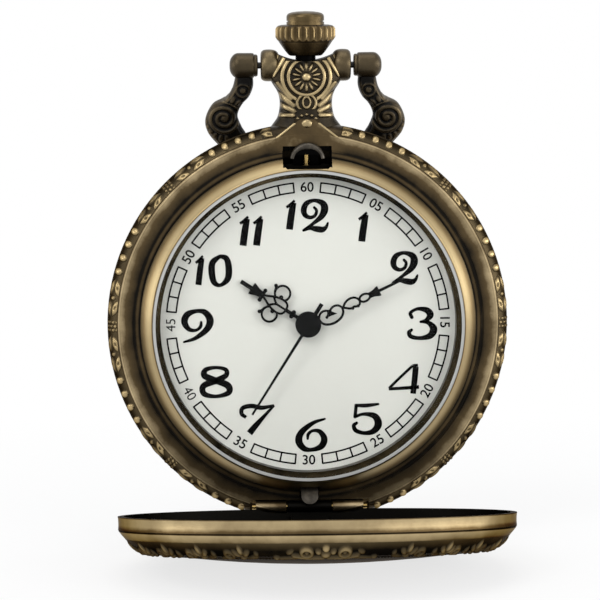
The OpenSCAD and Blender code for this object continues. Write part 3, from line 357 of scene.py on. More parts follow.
# %% [markdown]
# ## The metals of this watch
#
# Outside there is bronze plate in several states of wear, and one satin brass ring. Inside, a movement
# has brass wheels, steel springs and bridges, silicon steel for the magnet's field and a copper coil.
# Each metal takes three colours: what lies deep, what lies between, and what the wheel or wear laid bare.

# %% Bronze plate
CASE_STOPS = ((0.0, -0.45), (19.7, -0.4), (19.95, 0.0), (20.1, 0.0), (20.35, -0.36), (20.65, -0.16),
              (21.1, -0.03), (21.5, 0.12), (21.95, 0.25), (22.04, 0.2), (22.1, 0.4), (22.2, 0.4),
              (22.3, -0.2), (24.0, -0.15))
# pressed ornament, buffed: pale gold tops over a sulphide bed, so that the pattern reads from afar
embossed_bronze = metal("embossed_bronze", "#1a1815 #564a35 #b9a378", (0.5, 0.32), 5, None, 0.2)
# carved castings, buffed by hand: gold on the ridges only, brown and uneven between them
carved_bronze = metal("carved_bronze", "#1c1b1a #574c39 #c2ad82", (0.48, 0.3), 3, None, 0.22)
# the turned case: black groove, brown seat that lightens outwards, and a bright line at its edge
case_bronze = metal("case_bronze", "#1c1a17 #574933 #cfba92", (0.46, 0.3), 3.5, 0.42, 0.3,
                    by_radius(*CASE_STOPS))
# the pressed cover: a polished golden band, smoky shoulder and dome, soft wide clouds; its bands are partly
# painted reflection, and its dark inside is painted shade
cover_bronze = metal("cover_bronze", "#12110f #5a4a31 #c9b48a", (0.45, 0.32), 6, 0.49, 0.24, cover_zones)
# the case back, rubbed by cloth and hand: an even mid brown with small worn patches, and painted shade, near
# black, below the latch's window
back_bronze = metal("back_bronze", "#1d1912 #67563a #b29c6e", (0.42, 0.3), 3.5, 0.5, 0.24, back_zones)
# the crown's flutes: worn to yellow metal where fingers turn it, dark in the roots
crown_relief = metal("crown_relief", "#1c1812 #5f4f35 #ab946a", (0.45, 0.28), 2.2, None, 0.3)
# a sulphide skin shines little even at a low angle, so a grey tint dims what these two reflect there
for bronze in (cover_bronze, embossed_bronze):
    bronze.node_tree.nodes["Principled BSDF"].inputs["Specular Tint"].default_value = linear("#8a8074")
print("materials with the bronzes", len(bpy.data.materials))

# %% Brass
# satin brass, brushed round: a calm pale ring that leads the eye to the dial; its near-black first colour is
# painted shade, under the glass's edge, towards the groove and in the latch's window
satin_brass = metal("satin_brass", "#0d0c0a #937f5b #cdb98e", (0.4, 0.34), 9, 0.66, 0.16, bezel_zones)
# the button's brass, pressed by a thumb: brown with a rubbed, patchy shine
crown_brass = metal("crown_brass", "#2a2317 #63543a #ab9362", (0.45, 0.28), 2.2, 0.42, 0.5)
# free-cutting brass off the lathe: clean, yellow and even
turned_brass = metal("turned_brass", "#8d7443 #b2965b #d0b478", (0.3, 0.24), 3, 0.6, 0.25)
# hard brass sheet, cut into wheels and polished: the brightest yellow inside
gear_brass = metal("gear_brass", "#94793c #bb9c54 #d6ba70", (0.28, 0.2), 2, 0.6, 0.25)
print("materials with the brasses", len(bpy.data.materials))

# %% Steel and copper
# nickel-plated steel: a cool light grey
bright_steel = metal("bright_steel", "#808183 #a6a7a9 #c6c7c8", (0.3, 0.2), 2, 0.55, 0.3)
# tempered spring steel, left from the heat: mid grey with darker patches
spring_steel = metal("spring_steel", "#3f3f40 #77787a #a8a9aa", (0.38, 0.25), 1.5, 0.5, 0.4)
# spring steel where another part rubs it: dull, warm grey, scuffed
worn_steel = metal("worn_steel", "#1a1917 #45413b #726b60", (0.42, 0.3), 1.2, 0.5, 0.5)
# oiled pins between bow and pendant: nearly black with a thin glint
pin_steel = metal("pin_steel", "#161617 #2f2f30 #5a5a5b", (0.38, 0.25), 1.0, 0.4, 0.4)
# steel coloured near black: painted shade for the latch inside its window, and for the pendant's tube
shade_black_steel = metal("shade_black_steel", "#050505 #0c0b0b #2a2928", (0.45, 0.3), 2, 0.35, 0.3)
# silicon steel sheet, annealed: a bluish matt grey
silicon_steel = metal("silicon_steel", "#6d7379 #8f959b #adb2b6", (0.45, 0.35), 2, 0.5, 0.3)
# enamelled copper wire; its 0.02 mm turns are too fine to show, so short clouds stand for them
copper_wire = metal("enamelled_copper_wire", "#7d3417 #b4572b #d9834d", (0.3, 0.25), 0.4, 0.5, 0.4)
print("materials with all metals", len(bpy.data.materials))

# %% [markdown]
# ## Enamel, ink, lacquer, rubber and plastic
#
# These aren't metals: their colour is their own, and their shine is white. A slow drift between two near
# colours keeps them from looking computed.


# %% One recipe for what isn't metal
def plain(name, colours, rough, share_mm, gloss=0.5, grain_mm=0.3, grain=0.01):
    """A non-metal of IOR 1.5, whose colour drifts between two in clouds share_mm wide; gloss is its shine."""
    material, tree, shader, place = surface(name, grain_mm, grain, detail=2.0, strength=0.3)
    shader.inputs["Roughness"].default_value = rough
    shader.inputs["IOR"].default_value = 1.5
    shader.inputs["Specular IOR Level"].default_value = gloss
    cloud = add(tree, "ShaderNodeTexNoise", {"Vector": place.outputs["Object"]},
                Scale=1 / (share_mm * MM), Detail=4.0)
    first, other = map(linear, colours.split())
    mix = add(tree, "ShaderNodeMix", {"Factor": cloud, "A": first, "B": other}, data_type="RGBA")
    tree.links.new(mix.outputs["Result"], shader.inputs["Base Color"])
    return material


# stove enamel on a brass dial: a soft, cool white with hardly any grain
dial_enamel = plain("dial_enamel", "#d0cec8 #d7d5cf", 0.42, 9, grain=0.002)
# pad-printed ink, which dries matt: as black as the dial allows, with crisp edges
printed_ink = plain("pad_printed_ink", "#040404 #090909", 0.7, 0.6, gloss=0.04, grain_mm=0.1, grain=0.004)
# dipped black lacquer: black with a faint sheen that shows the hands' thickness
hand_lacquer = plain("hand_lacquer", "#030303 #080808", 0.6, 1.2, gloss=0.12, grain_mm=0.15, grain=0.004)
# moulded nitrile rubber: a soft black
black_rubber = plain("black_rubber", "#141413 #1d1c1b", 0.6, 2)
# moulded nylon, clear as it comes: a milky grey line round the glass
clear_nylon = plain("clear_nylon", "#b4b4b0 #c4c4c0", 0.5, 4)
# moulded acetal: an ivory white
movement_plastic = plain("movement_plastic", "#d9d6cc #e4e2da", 0.45, 5)
# sintered ferrite: a dull brownish black
ferrite = plain("ferrite_magnet", "#2f2d2b #3b3936", 0.5, 0.5)
# solder mask on a circuit board: a glossy deep green
board_lacquer = plain("circuit_board_lacquer", "#1d5c34 #27703f", 0.3, 2)
print("materials with all but the glass", len(bpy.data.materials))

# %% [markdown]
# ## Mineral glass
#
# The flat glass has an anti-reflection coat, so the black hands and numbers stay black behind it. A coat
# is far thinner than can be modelled. Its effect is a weaker gloss, which is that of a lower IOR than the
# glass's own 1.52, and shadow rays pass, so that the dial is lit as it is through real glass.

# %% The glass
mineral_glass = bpy.data.materials.new("mineral_glass")
mineral_glass.use_nodes = True
tree = mineral_glass.node_tree
shader = tree.nodes["Principled BSDF"]
for socket, value in (("Base Color", linear("#fbfdfc")), ("Roughness", 0.02), ("IOR", 1.1),
                      ("Transmission Weight", 1.0)):
    shader.inputs[socket].default_value = value
path = add(tree, "ShaderNodeLightPath")
open_air = add(tree, "ShaderNodeBsdfTransparent")
mix = add(tree, "ShaderNodeMixShader", {"Fac": path.outputs["Is Shadow Ray"], 1: shader, 2: open_air})
tree.links.new(mix.outputs[0], tree.nodes["Material Output"].inputs["Surface"])
print("glass", mineral_glass.name)

# %% [markdown]
# ## Finishes on the mechanical model
#
# Every piece of the mechanical model goes to the plater or the polisher as it is. A table names the
# pieces that leave with each finish, so that it is easy to see that none was forgotten.

# %% Finish for every piece of the mechanical model
finishes = {
    case_bronze: "case_middle",
    carved_bronze: "pendant bow",
    crown_relief: "crown",
    cover_bronze: "front_cover",
    back_bronze: "case_back",
    satin_brass: "bezel",
    crown_brass: "crown_button",
    turned_brass: "clutch push_collar hinge_pin main_plate stem",
    gear_brass: "centre_wheel seconds_wheel third_wheel fifth_wheel minute_wheel cannon_pinion setting_wheel"
                " rotor_pinion",
    bright_steel: "train_bridge battery battery_clamp quartz_can movement_screws setting_lever yoke",
    spring_steel: "latch_spring lift_spring button_spring",
    worn_steel: "lift_tongue",
    pin_steel: "bow_pins",
    shade_black_steel: "latch pendant_tube",
    silicon_steel: "stator coil_core",
    copper_wire: "coil",
    hand_lacquer: "hour_hand minute_hand second_hand",
    dial_enamel: "dial",
    black_rubber: "back_gasket crown_gasket",
    clear_nylon: "crystal_gasket",
    movement_plastic: "movement_ring hour_wheel",
    ferrite: "rotor_magnet",
    board_lacquer: "circuit_board",
    mineral_glass: "crystal",
}
finished = set()
for finish, names in finishes.items():
    for name in names.split():
        mesh = nodes[name].data
        mesh.materials.clear()
        mesh.materials.append(finish)
        finished.add(name)
print("finished", len(finished), "left over", sorted(set(nodes) - finished))

# %% [markdown]
# ## The printed dial
#
# A dial is printed with a soft pad that carries thick black ink from an etched plate. The hour numbers
# are pen letters: a stroke swells where it runs down and thins where it turns. So each numeral is a few
# strokes, and a stroke is a smooth path with a width at each point. The ink stands 0.02 mm proud.

# %% Pen strokes
DIAL, GAP, INK = 6.3, 0.001, 0.02  # the dial's face over the back, and the ink's foot and height over it
CAP = 4  # points in a stroke's round end


def smooth(points, count):
    """Catmull-Rom curve through the rows of points: cubic pieces whose slope at a point is half the step
    between its two neighbours."""
    points = np.asarray(points, float)
    ends = np.concatenate([2 * points[:1] - points[1:2], points, 2 * points[-1:] - points[-2:-1]])
    t = np.linspace(0, len(points) - 1 - 1e-6, count)
    i = t.astype(int)
    t = (t - i)[:, None]
    a, b, c, d = (ends[i + k] for k in range(4))
    return 0.5 * (2 * b + (c - a) * t + (2 * a - 5 * b + 4 * c - d) * t**2 + (3 * b - a - 3 * c + d) * t**3)


def stroke(points, steps=10, closed=False, blunt=False):
    """A closed slab along a pen path of (x, y, half width): left and right edges are the path plus and
    minus its normal times the width, and round ends shrink the width as the root of 1 - t squared. A blunt
    path ends square, as a flat pen leaves it."""
    path = smooth(points, (len(points) - 1) * steps + 1)
    way = np.gradient(path[:, :2], axis=0)
    if closed:
        way[0] = way[-1] = way[0] + way[-1]
    way /= np.linalg.norm(way, axis=1, keepdims=True)
    if not closed and not blunt:
        t = np.sin(np.linspace(0, 1, CAP + 1) * math.pi / 2)[1:, None]
        shrink = np.sqrt(1 - t**2 + 1e-4)
        head, tail = (
            np.hstack([end[:2] + direction * t * end[2], end[2] * shrink])
            for end, direction in ((path[0], -way[0]), (path[-1], way[-1]))
        )
        path = np.concatenate([head[::-1], path, tail])
        way = np.concatenate([np.repeat(way[:1], CAP, 0), way, np.repeat(way[-1:], CAP, 0)])
    side = np.column_stack([-way[:, 1], way[:, 0]]) * path[:, 2:]
    left, right = path[:, :2] + side, path[:, :2] - side
    flat = np.stack([left, right, right, left], axis=1)
    level = np.broadcast_to([0.0, 0.0, 1.0, 1.0], flat.shape[:2])
    return np.dstack([flat, level]).reshape(-1, 3), quads(len(path), 4)


# %% The numerals as pen paths: x, y and half width, in parts of a numeral's height
NINE_TURN = 0.97  # a nine is a six after half a turn about the point (0.97 / 2, 1 / 2)
SIX = [(0.92, 1.0, 0.025), (0.56, 0.88, 0.055), (0.2, 0.6, 0.09), (0.1, 0.32, 0.105), (0.25, 0.08, 0.085),
       (0.5, 0.03, 0.055), (0.8, 0.13, 0.09), (0.9, 0.37, 0.095), (0.76, 0.6, 0.065), (0.54, 0.63, 0.04),
       (0.4, 0.52, 0.045), (0.38, 0.38, 0.03)]
NUMERALS = {
    "0": [[(0.4, 0.955, 0.05), (0.13, 0.75, 0.1), (0.1, 0.42, 0.11), (0.18, 0.14, 0.09), (0.4, 0.045, 0.05),
           (0.66, 0.25, 0.1), (0.7, 0.58, 0.11), (0.62, 0.87, 0.09), (0.4, 0.955, 0.05)]],
    "1": [[(0.04, 0.06, 0.1), (0.1, 0.5, 0.1), (0.17, 0.9, 0.085)],
          [(0.21, 0.97, 0.03), (0.08, 0.84, 0.04), (-0.05, 0.75, 0.035)]],
    "2": [[(0.4, 0.74, 0.035), (0.47, 0.64, 0.04), (0.42, 0.49, 0.045), (0.27, 0.43, 0.05), (0.12, 0.5, 0.07),
           (0.07, 0.67, 0.085), (0.16, 0.87, 0.075), (0.4, 0.96, 0.05), (0.66, 0.87, 0.09), (0.72, 0.68, 0.11),
           (0.62, 0.46, 0.085), (0.36, 0.24, 0.045), (0.06, 0.03, 0.035)],
          [(0.06, 0.03, 0.035), (0.26, 0.1, 0.055), (0.46, 0.07, 0.085), (0.64, 0.05, 0.085), (0.76, 0.12, 0.05),
           (0.82, 0.25, 0.025)]],
    "3": [[(0.14, 0.7, 0.05), (0.1, 0.84, 0.045), (0.32, 0.96, 0.045), (0.6, 0.92, 0.085), (0.72, 0.77, 0.1),
           (0.6, 0.61, 0.055), (0.42, 0.55, 0.03)],
          [(0.42, 0.56, 0.03), (0.66, 0.52, 0.06), (0.82, 0.33, 0.11), (0.72, 0.12, 0.095), (0.42, 0.04, 0.055),
           (0.12, 0.09, 0.06), (0.05, 0.22, 0.055), (0.13, 0.3, 0.04)]],
    "4": [[(0.8, 0.95, 0.035), (0.42, 0.6, 0.035), (0.06, 0.25, 0.035)],
          [(0.05, 0.23, 0.04), (0.5, 0.25, 0.045), (1.0, 0.28, 0.05)],
          [(0.9, 0.92, 0.085), (0.86, 0.5, 0.085), (0.81, 0.07, 0.08)],
          [(0.8, 0.96, 0.035), (0.97, 0.97, 0.035)]],
    "5": [[(0.13, 0.93, 0.04), (0.45, 0.92, 0.055), (0.83, 0.96, 0.03)],
          [(0.14, 0.93, 0.045), (0.1, 0.57, 0.045)],
          [(0.1, 0.57, 0.04), (0.38, 0.65, 0.045), (0.72, 0.58, 0.09), (0.83, 0.33, 0.11), (0.68, 0.11, 0.085),
           (0.4, 0.05, 0.055), (0.13, 0.13, 0.06), (0.06, 0.29, 0.055), (0.15, 0.37, 0.04)]],
    "6": [SIX],
    "7": [[(0.22, 0.58, 0.045), (0.08, 0.7, 0.055), (0.12, 0.88, 0.06), (0.4, 0.94, 0.065), (0.72, 0.88, 0.06),
           (1.1, 0.95, 0.03)], [(1.1, 0.95, 0.03), (0.82, 0.65, 0.045), (0.52, 0.32, 0.08), (0.32, 0.08, 0.095)]],
    "8": [[(0.54, 0.54, 0.09), (0.84, 0.7, 0.075), (0.84, 0.88, 0.06), (0.54, 0.955, 0.045), (0.22, 0.89, 0.07),
           (0.18, 0.7, 0.095), (0.54, 0.54, 0.09), (0.9, 0.38, 0.1), (0.92, 0.16, 0.08), (0.54, 0.045, 0.05),
           (0.16, 0.13, 0.08), (0.14, 0.38, 0.09), (0.54, 0.54, 0.09)]],
    "9": [[(NINE_TURN - x, 1 - y, w) for x, y, w in SIX]],
}
ADVANCE = {"0": 0.8, "1": 0.42, "2": 0.86}  # from one numeral to the next; 0.9 for all others

# %% Set the hour numbers round the dial
NUMERAL_H, BOLD = 3.75, 0.009
NARROW_TEN = 0.88
NUMERAL_R, TWO_DIGITS_R = 13.1, 12.7
# each number's place beside its even one, in mm to the right and up, as the dial's artist spaced them
NUDGE = {2: (0, -0.1), 3: (0.3, -0.1), 4: (-0.15, -0.1), 5: (0.3, 0), 6: (0.3, -0.05), 7: (0.5, 0.12),
         8: (0.5, -0.2), 9: (0.15, -0.1), 11: (-0.2, 0)}
parts = []
for hour in range(1, 13):
    x, pieces = 0.0, []
    for digit in str(hour):
        for path in NUMERALS[digit]:
            points, faces = stroke(np.array(path) + (0, 0, BOLD), closed=digit in "08", blunt=digit in "147")
            pieces.append((points + (x, 0, 0), faces))
        x += ADVANCE.get(digit, 0.9)
    every = np.concatenate([points for points, _ in pieces])
    middle = (every.min(0) + every.max(0)) / 2
    radius = TWO_DIGITS_R if hour >= 10 else NUMERAL_R
    angle = math.radians(hour * 30)
    right, up = NUDGE.get(hour, (0, 0))
    wide = NUMERAL_H * (NARROW_TEN if hour == 10 else 1)
    for points, faces in pieces:
        points[:, 0] = (points[:, 0] - middle[0]) * wide + radius * math.sin(angle) + right
        points[:, 1] = (points[:, 1] - middle[1]) * NUMERAL_H + radius * math.cos(angle) + up
        parts.append((points, faces))
print("pen strokes", len(parts))

# %% Draw the minute track and print all of it as one piece
TRACK_IN, TRACK_OUT, LINE = 15.5, 16.6, 0.096


def track_line(radius_a, clock_a, radius_b, clock_b, count):
    """A printed line between two points of the track, along its arc if the radius is the same."""
    clock = np.radians(np.linspace(clock_a, clock_b, count))
    radius = np.linspace(radius_a, radius_b, count)
    line = np.column_stack([radius * np.sin(clock), radius * np.cos(clock), np.full(count, LINE)])
    return stroke(line, steps=1)


for five in range(12):
    start, end = five * 30 + 5.6, five * 30 + 24.4
    parts += [track_line(radius, start, radius, end, 12) for radius in (TRACK_IN, TRACK_OUT)]
    parts += [track_line(TRACK_IN, clock, TRACK_OUT, clock, 2) for clock in np.linspace(start, end, 4)]
first = np.cumsum([0] + [len(points) for points, _ in parts])
x, up, level = np.concatenate([points for points, _ in parts]).T
faces = np.concatenate([faces + start for (_, faces), start in zip(parts, first)])
print_points = upright(x, up, DIAL + GAP + INK * level)
mesh_piece("dial_print", print_points, faces, "case", printed_ink, smooth=False)
print("printed strokes", len(parts), "faces", len(faces))

# %% The minute numbers, whose feet point to the middle above and outwards below
LABEL_R, LABEL_H = 16.08, 1.12
CAPITAL = 0.7  # height of a numeral as part of the font's size
for five in range(12):
    label = bpy.data.curves.new("minute_number", "FONT")
    label.body = "60" if five == 0 else f"{five * 5:02d}"
    label.size = LABEL_H / CAPITAL
    label.align_x = "CENTER"
    label.offset = 0.0 if five in (8, 9) else 0.022
    label.extrude = INK / 2
    maker = bpy.data.objects.new("minute_number", label)
    bpy.context.scene.collection.objects.link(maker)
    flat = bpy.data.meshes.new_from_object(maker.evaluated_get(bpy.context.evaluated_depsgraph_get()))
    bpy.data.objects.remove(maker)
    xyz = np.empty(len(flat.vertices) * 3, np.float32)
    flat.vertices.foreach_get("co", xyz)
    x, up, out = xyz.reshape(-1, 3).T
    clock = math.radians(five * 30)
    flip = -1 if 4 <= five <= 8 else 1
    x, up = flip * (x - (x.min() + x.max()) / 2), flip * (up - (up.min() + up.max()) / 2) + LABEL_R
    turned = upright(x * math.cos(clock) + up * math.sin(clock), up * math.cos(clock) - x * math.sin(clock),
                     DIAL + GAP + INK / 2 + out)
    flat.vertices.foreach_set("co", turned.astype(np.float32).ravel())
    flat.update()
    flat.materials.clear()
    flat.materials.append(printed_ink)
    number = bpy.data.objects.new(f"minute_number_{five * 5:02d}", flat)
    bpy.context.scene.collection.objects.link(number)
    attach(number, "case")
print("minute numbers 12")

# %% [markdown]
# ## Hands under their lacquer
#
# The openwork hands are stamped from steel sheet and dipped in black lacquer, which fattens their thin
# rings. Each hand of the mechanical model is copied, its loose triangles are merged into one skin, and
# every point on an edge moves sideways by the coat's thickness. The sheet keeps its own thickness, so
# the hands still clear each other as they pass.

# %% Coat the hands
COAT = 0.05 * MM
EDGE = 0.2  # a normal whose flat part is longer than this belongs to a hand's edge


def coated_hand(node, body):
    """A copy of a hand's skin: each point plus the coat times the flat part of its normal, at unit length."""
    skin = bmesh.new()
    skin.from_mesh(bpy.data.objects[node].data)
    bmesh.ops.remove_doubles(skin, verts=skin.verts, dist=1e-6)
    merged = bpy.data.meshes.new(node + "_merged")
    skin.to_mesh(merged)
    skin.free()
    place, normal = np.empty(len(merged.vertices) * 3), np.empty(len(merged.vertices) * 3)
    corners = np.empty(len(merged.loops), np.int32)
    merged.vertices.foreach_get("co", place)
    merged.vertices.foreach_get("normal", normal)
    merged.loops.foreach_get("vertex_index", corners)
    bpy.data.meshes.remove(merged)
    flat = normal.reshape(-1, 3) * (1, 0, 1)
    length = np.linalg.norm(flat, axis=1, keepdims=True)
    place = place.reshape(-1, 3) + np.where(length > EDGE, flat / np.maximum(length, EDGE), 0) * COAT
    piece = mesh_piece(node + "_coated", place, corners.reshape(-1, 3), body, hand_lacquer,
                       smooth=False)
    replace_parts(piece, node)
    return len(place)


print("points of the hands", [coated_hand(node, body) for node, body in (
    ("hour_hand", "hours"), ("minute_hand", "minutes"), ("second_hand", "seconds"))])

# %% [markdown]
# ## The embossed border
#
# The case's rim was pressed with an ornament: groups of tiny beads, pairs of hollow petals, and rows of
# larger beads, eight times round. The rim is part of a torus, so the ornament is a height over two
# angles, the clock angle and the angle round the torus' tube. Each bead is half an ellipsoid.


# %% Relief shapes as heights over a plane
def turned_axes(along, across, turn):
    """A place measured on axes turned by an angle: x cos + y sin and y cos - x sin."""
    c, s = math.cos(turn), math.sin(turn)
    return along * c + across * s, across * c - along * s


def dome(along, across, length, width, height, turn=0.0):
    """Half an ellipsoid: height times the root of 1 - (a/length)^2 - (b/width)^2, with the axes turned."""
    a, b = turned_axes(along, across, turn)
    a, b = a / length, b / width
    return height * np.sqrt(np.clip(1 - a * a - b * b, 0, None))


def ridge(distance, half, height):
    """A round bar beside a line: height times the root of 1 - (distance/half)^2."""
    return height * np.sqrt(np.clip(1 - (distance / half) ** 2, 0, None))


def bar(x, y, a, b, half, height):
    """A round bar from point a to point b, with round ends."""
    dx, dy = b[0] - a[0], b[1] - a[1]
    t = np.clip(((x - a[0]) * dx + (y - a[1]) * dy) / (dx * dx + dy * dy), 0, 1)
    return ridge(np.hypot(x - a[0] - t * dx, y - a[1] - t * dy), half, height)


def petal(along, across, turn, way):
    """An almond 1 mm long with a hollow: a dome that narrows to a point at its tip, less a smaller dome."""
    a, b = turned_axes(along, across, turn)
    a = a * way
    half = 0.47 * np.clip(1 - np.clip(a, 0, 1) ** 1.6, 0.05, None)
    body = 0.22 * np.sqrt(np.clip(1 - a**2 - (b / half) ** 2, 0, None))
    return body - dome(a + 0.12, b, 0.3, 0.13, 0.14)


def nearest(value, step):
    """How far a value lies from the nearest multiple of a step, from -step/2 to step/2."""
    return (value + step / 2) % step - step / 2


def highest(*shapes):
    """The highest of several reliefs at each place, as a punch leaves them."""
    return reduce(np.maximum, shapes)


# %% One repeat of the border, 45 degrees long
RIM_R, RIM_H, RIM_TUBE = 21.58, 5.5, 1.76
ARC = 23.1 * math.pi / 180  # mm to a degree, along the border and across it
TUBE_ARC = RIM_TUBE * math.pi / 180
BORDER_MIDDLE = 39


def border_height(clock, tube):
    """Height over the border's bed: beads, petals and bead groups, from the distance to each one's middle."""
    side = np.abs(nearest(clock, 45))
    across = (tube - BORDER_MIDDLE) * TUBE_ARC
    shapes = [dome((side - middle) * ARC, across, 0.46, 0.62, 0.3) for middle in (16.2, 20.4)]
    shapes.append(dome((side - 8.3) * ARC, across, 0.27, 0.34, 0.2))
    for middle, way in ((5.15, -1), (11.45, 1)):
        for edge in (-1, 1):
            shapes.append(petal((side - middle) * ARC, across - edge * 0.46, -edge * way * 0.3, way))
    for column, rows in ((0.0, (-0.56, 0.0, 0.56)), (1.15, (-0.82, -0.28, 0.28, 0.82))):
        shapes += [dome((side - column) * ARC, across - row, 0.21, 0.25, 0.16) for row in rows]
    return highest(0.0, *shapes)


# %% Wrap it round the rim, in two halves
TUBE_IN, TUBE_OUT = 65.5, -5.5
PROUD, SUNK = 0.02, 0.06  # a strip's ground stands over the metal, and its back is sunk in it
TALLEST, WIDEST = 0.155, 23.48
FLAT_BED, BED_SINK = 13.6, 0.16  # degrees on each side of 12 o'clock, and how deep the bed is elsewhere


def border_half(name, start, end):
    """A closed strip over the border's bed: its outer skin carries the ornament, its inner skin is plain.

    The skin is a circle of the tube's radius plus the relief, at each clock angle. The relief runs out at
    the strip's edges, and near 12 o'clock the bed is not sunk, so the strip lies higher there.
    """
    rows, columns, base = 1050, 49, [TUBE_OUT, 30.0, TUBE_IN]
    clock = np.linspace(start, end, rows)[:, None]
    tube = np.linspace(TUBE_IN, TUBE_OUT, columns)[None, :]
    from_end, from_side = np.minimum(clock - start, end - clock), np.minimum(TUBE_IN - tube, tube - TUBE_OUT)
    edge = np.minimum(from_end * ARC, from_side * TUBE_ARC)
    limit = TALLEST + 0.2 * np.clip(edge - 0.02, 0, 1)
    height = np.where(edge <= 0, -0.05, np.clip(border_height(clock, tube), 0, limit))
    flat = np.clip((FLAT_BED - np.abs(nearest(clock, 360))) / 0.8, 0, 1)
    skin = RIM_TUBE + PROUD + height + BED_SINK * flat
    radii = np.pad(skin, ((0, 0), (0, len(base))), constant_values=RIM_TUBE - SUNK)
    radii[[0, -1]] = RIM_TUBE - SUNK
    turn = np.radians(np.append(tube[0], base))
    reach = np.minimum(RIM_R + radii * np.cos(turn), WIDEST)
    inner_side = 0.2 * np.clip((tube - 40) / 25, 0, 1)
    tone = np.clip(0.24 + inner_side + height * 2.0, 0, 1)
    return carved_piece(name, around(reach, clock, RIM_H + radii * np.sin(turn)), "case", embossed_bronze,
                        np.pad(tone, ((0, 0), (0, len(base)))))


border_half("border_right", 10.2, 160.6)
border_half("border_left", 199.4, 349.8)
print("border pieces 2")

# %% [markdown]
# ## The wreath on the cover
#
# The shoulder of the front cover carries a wreath of curled leaves with a crest at 12 o'clock. It was
# pressed from inside with the same kind of punch. It is a height over radius and clock angle, drawn on
# the closed cover and then swung open about the hinge, as the cover itself is.


# %% Swing a point with the open cover
def swung(radius, clock, out):
    """A point of the closed cover after the cover has turned about its hinge line by its open angle."""
    angle = np.radians(clock)
    x, up = radius * np.sin(angle), radius * np.cos(angle) - HINGE_UP
    depth = out - HINGE_OUT
    return upright(x, HINGE_UP + up * math.cos(OPEN) - depth * math.sin(OPEN),
                   HINGE_OUT + up * math.sin(OPEN) + depth * math.cos(OPEN))


COVER_FOOT, DOME_BALL, DOME_TOP = 7.45, 125.5, 5.45
SHOULDER_R, SHOULDER_H, SHOULDER_BALL = 15.69, -3.06, 8.0


def cover_skin(radius):
    """Height of the cover's outer face: the lower of a very flat dome and a round shoulder."""
    flat = DOME_TOP - DOME_BALL + np.sqrt(DOME_BALL**2 - radius**2)
    shoulder = SHOULDER_H + np.sqrt(SHOULDER_BALL**2 - np.clip(radius - SHOULDER_R, 0, 7.9) ** 2)
    return COVER_FOOT + np.minimum(flat, shoulder)


# %% The wreath's height
def leaf_group(x, y):
    """Three fat leaves in a fan over a bead, a scroll that trails away to one side, a small leaf behind."""
    fan = [
        dome(x - reach * math.sin(lean), y + 0.35 - reach * math.cos(lean), 0.3, 0.56, 0.36, -lean)
        for lean, reach in ((-0.85, 0.62), (0.0, 0.75), (0.85, 0.62))
    ]
    scroll = ridge(np.hypot(x - 1.35, y + 0.15) - 0.42, 0.22, 0.3)
    trails = (bar(x, y, (1.3, -0.7), (2.7, -0.95), 0.3, 0.28),
              bar(x, y, (-0.5, -0.85), (-1.35, -0.4), 0.28, 0.28))
    beads = (dome(x, y + 0.5, 0.46, 0.4, 0.34), dome(x - 1.35, y + 0.15, 0.2, 0.2, 0.26),
             dome(x + 1.45, y + 0.05, 0.26, 0.34, 0.28))
    return highest(*fan, scroll, *trails, *beads)


def crest(x, y):
    """The ornament at 12 o'clock: a crown of beads, two curls and two long scrolls that run out flat."""
    crown = (dome(x, y - 0.75, 0.42, 0.42, 0.4), dome(x, y + 0.1, 0.62, 0.5, 0.4),
             dome(x - 0.78, y - 0.3, 0.4, 0.34, 0.36, 0.6))
    curl = ridge(np.hypot(x - 2.0, y - 0.15) - 0.55, 0.27, 0.34), dome(x - 2.0, y - 0.15, 0.28, 0.28, 0.3)
    scroll = [
        bar(x, y, start, end, half, height)
        for start, end, half, height in (((0.3, -0.75), (1.5, -0.75), 0.36, 0.34),
                                         ((1.5, -0.75), (3.4, -0.25), 0.34, 0.34),
                                         ((3.2, -0.7), (5.2, -1.0), 0.32, 0.3))
    ]
    ends = dome(x - 5.35, y + 0.75, 0.42, 0.4, 0.34), dome(x - 3.75, y - 0.25, 0.5, 0.26, 0.3, -0.5)
    return highest(*crown, *curl, *scroll, *ends)


LEAF_R, LEAF_FROM, LEAF_STEP, LEAF_SIZE = 20.25, 19.5, 14.6, 1.12
BEAD_R, BEAD_STEP = 17.75, 1.2


def wreath_height(radius, clock):
    """Leaf groups every 14.6 degrees from the crest round to the hinge, and a line of tiny beads inside."""
    clock = nearest(clock, 360)
    side = np.abs(clock)
    arc = 20.0 * math.pi / 180
    cell = np.clip(np.floor((side - LEAF_FROM) / LEAF_STEP), 0, 10)
    x = (side - LEAF_FROM - (cell + 0.45) * LEAF_STEP) * arc
    y = radius - LEAF_R
    h = np.where(side > LEAF_FROM, leaf_group(x / LEAF_SIZE, y / LEAF_SIZE), crest(side * arc, y))
    bead = nearest(clock, BEAD_STEP) * BEAD_R * math.pi / 180
    return highest(h, dome(bead, radius - BEAD_R, 0.16, 0.16, 0.1))


# %% Wrap it round the shoulder, in three parts
WREATH_IN, WREATH_OUT = 17.35, 21.5


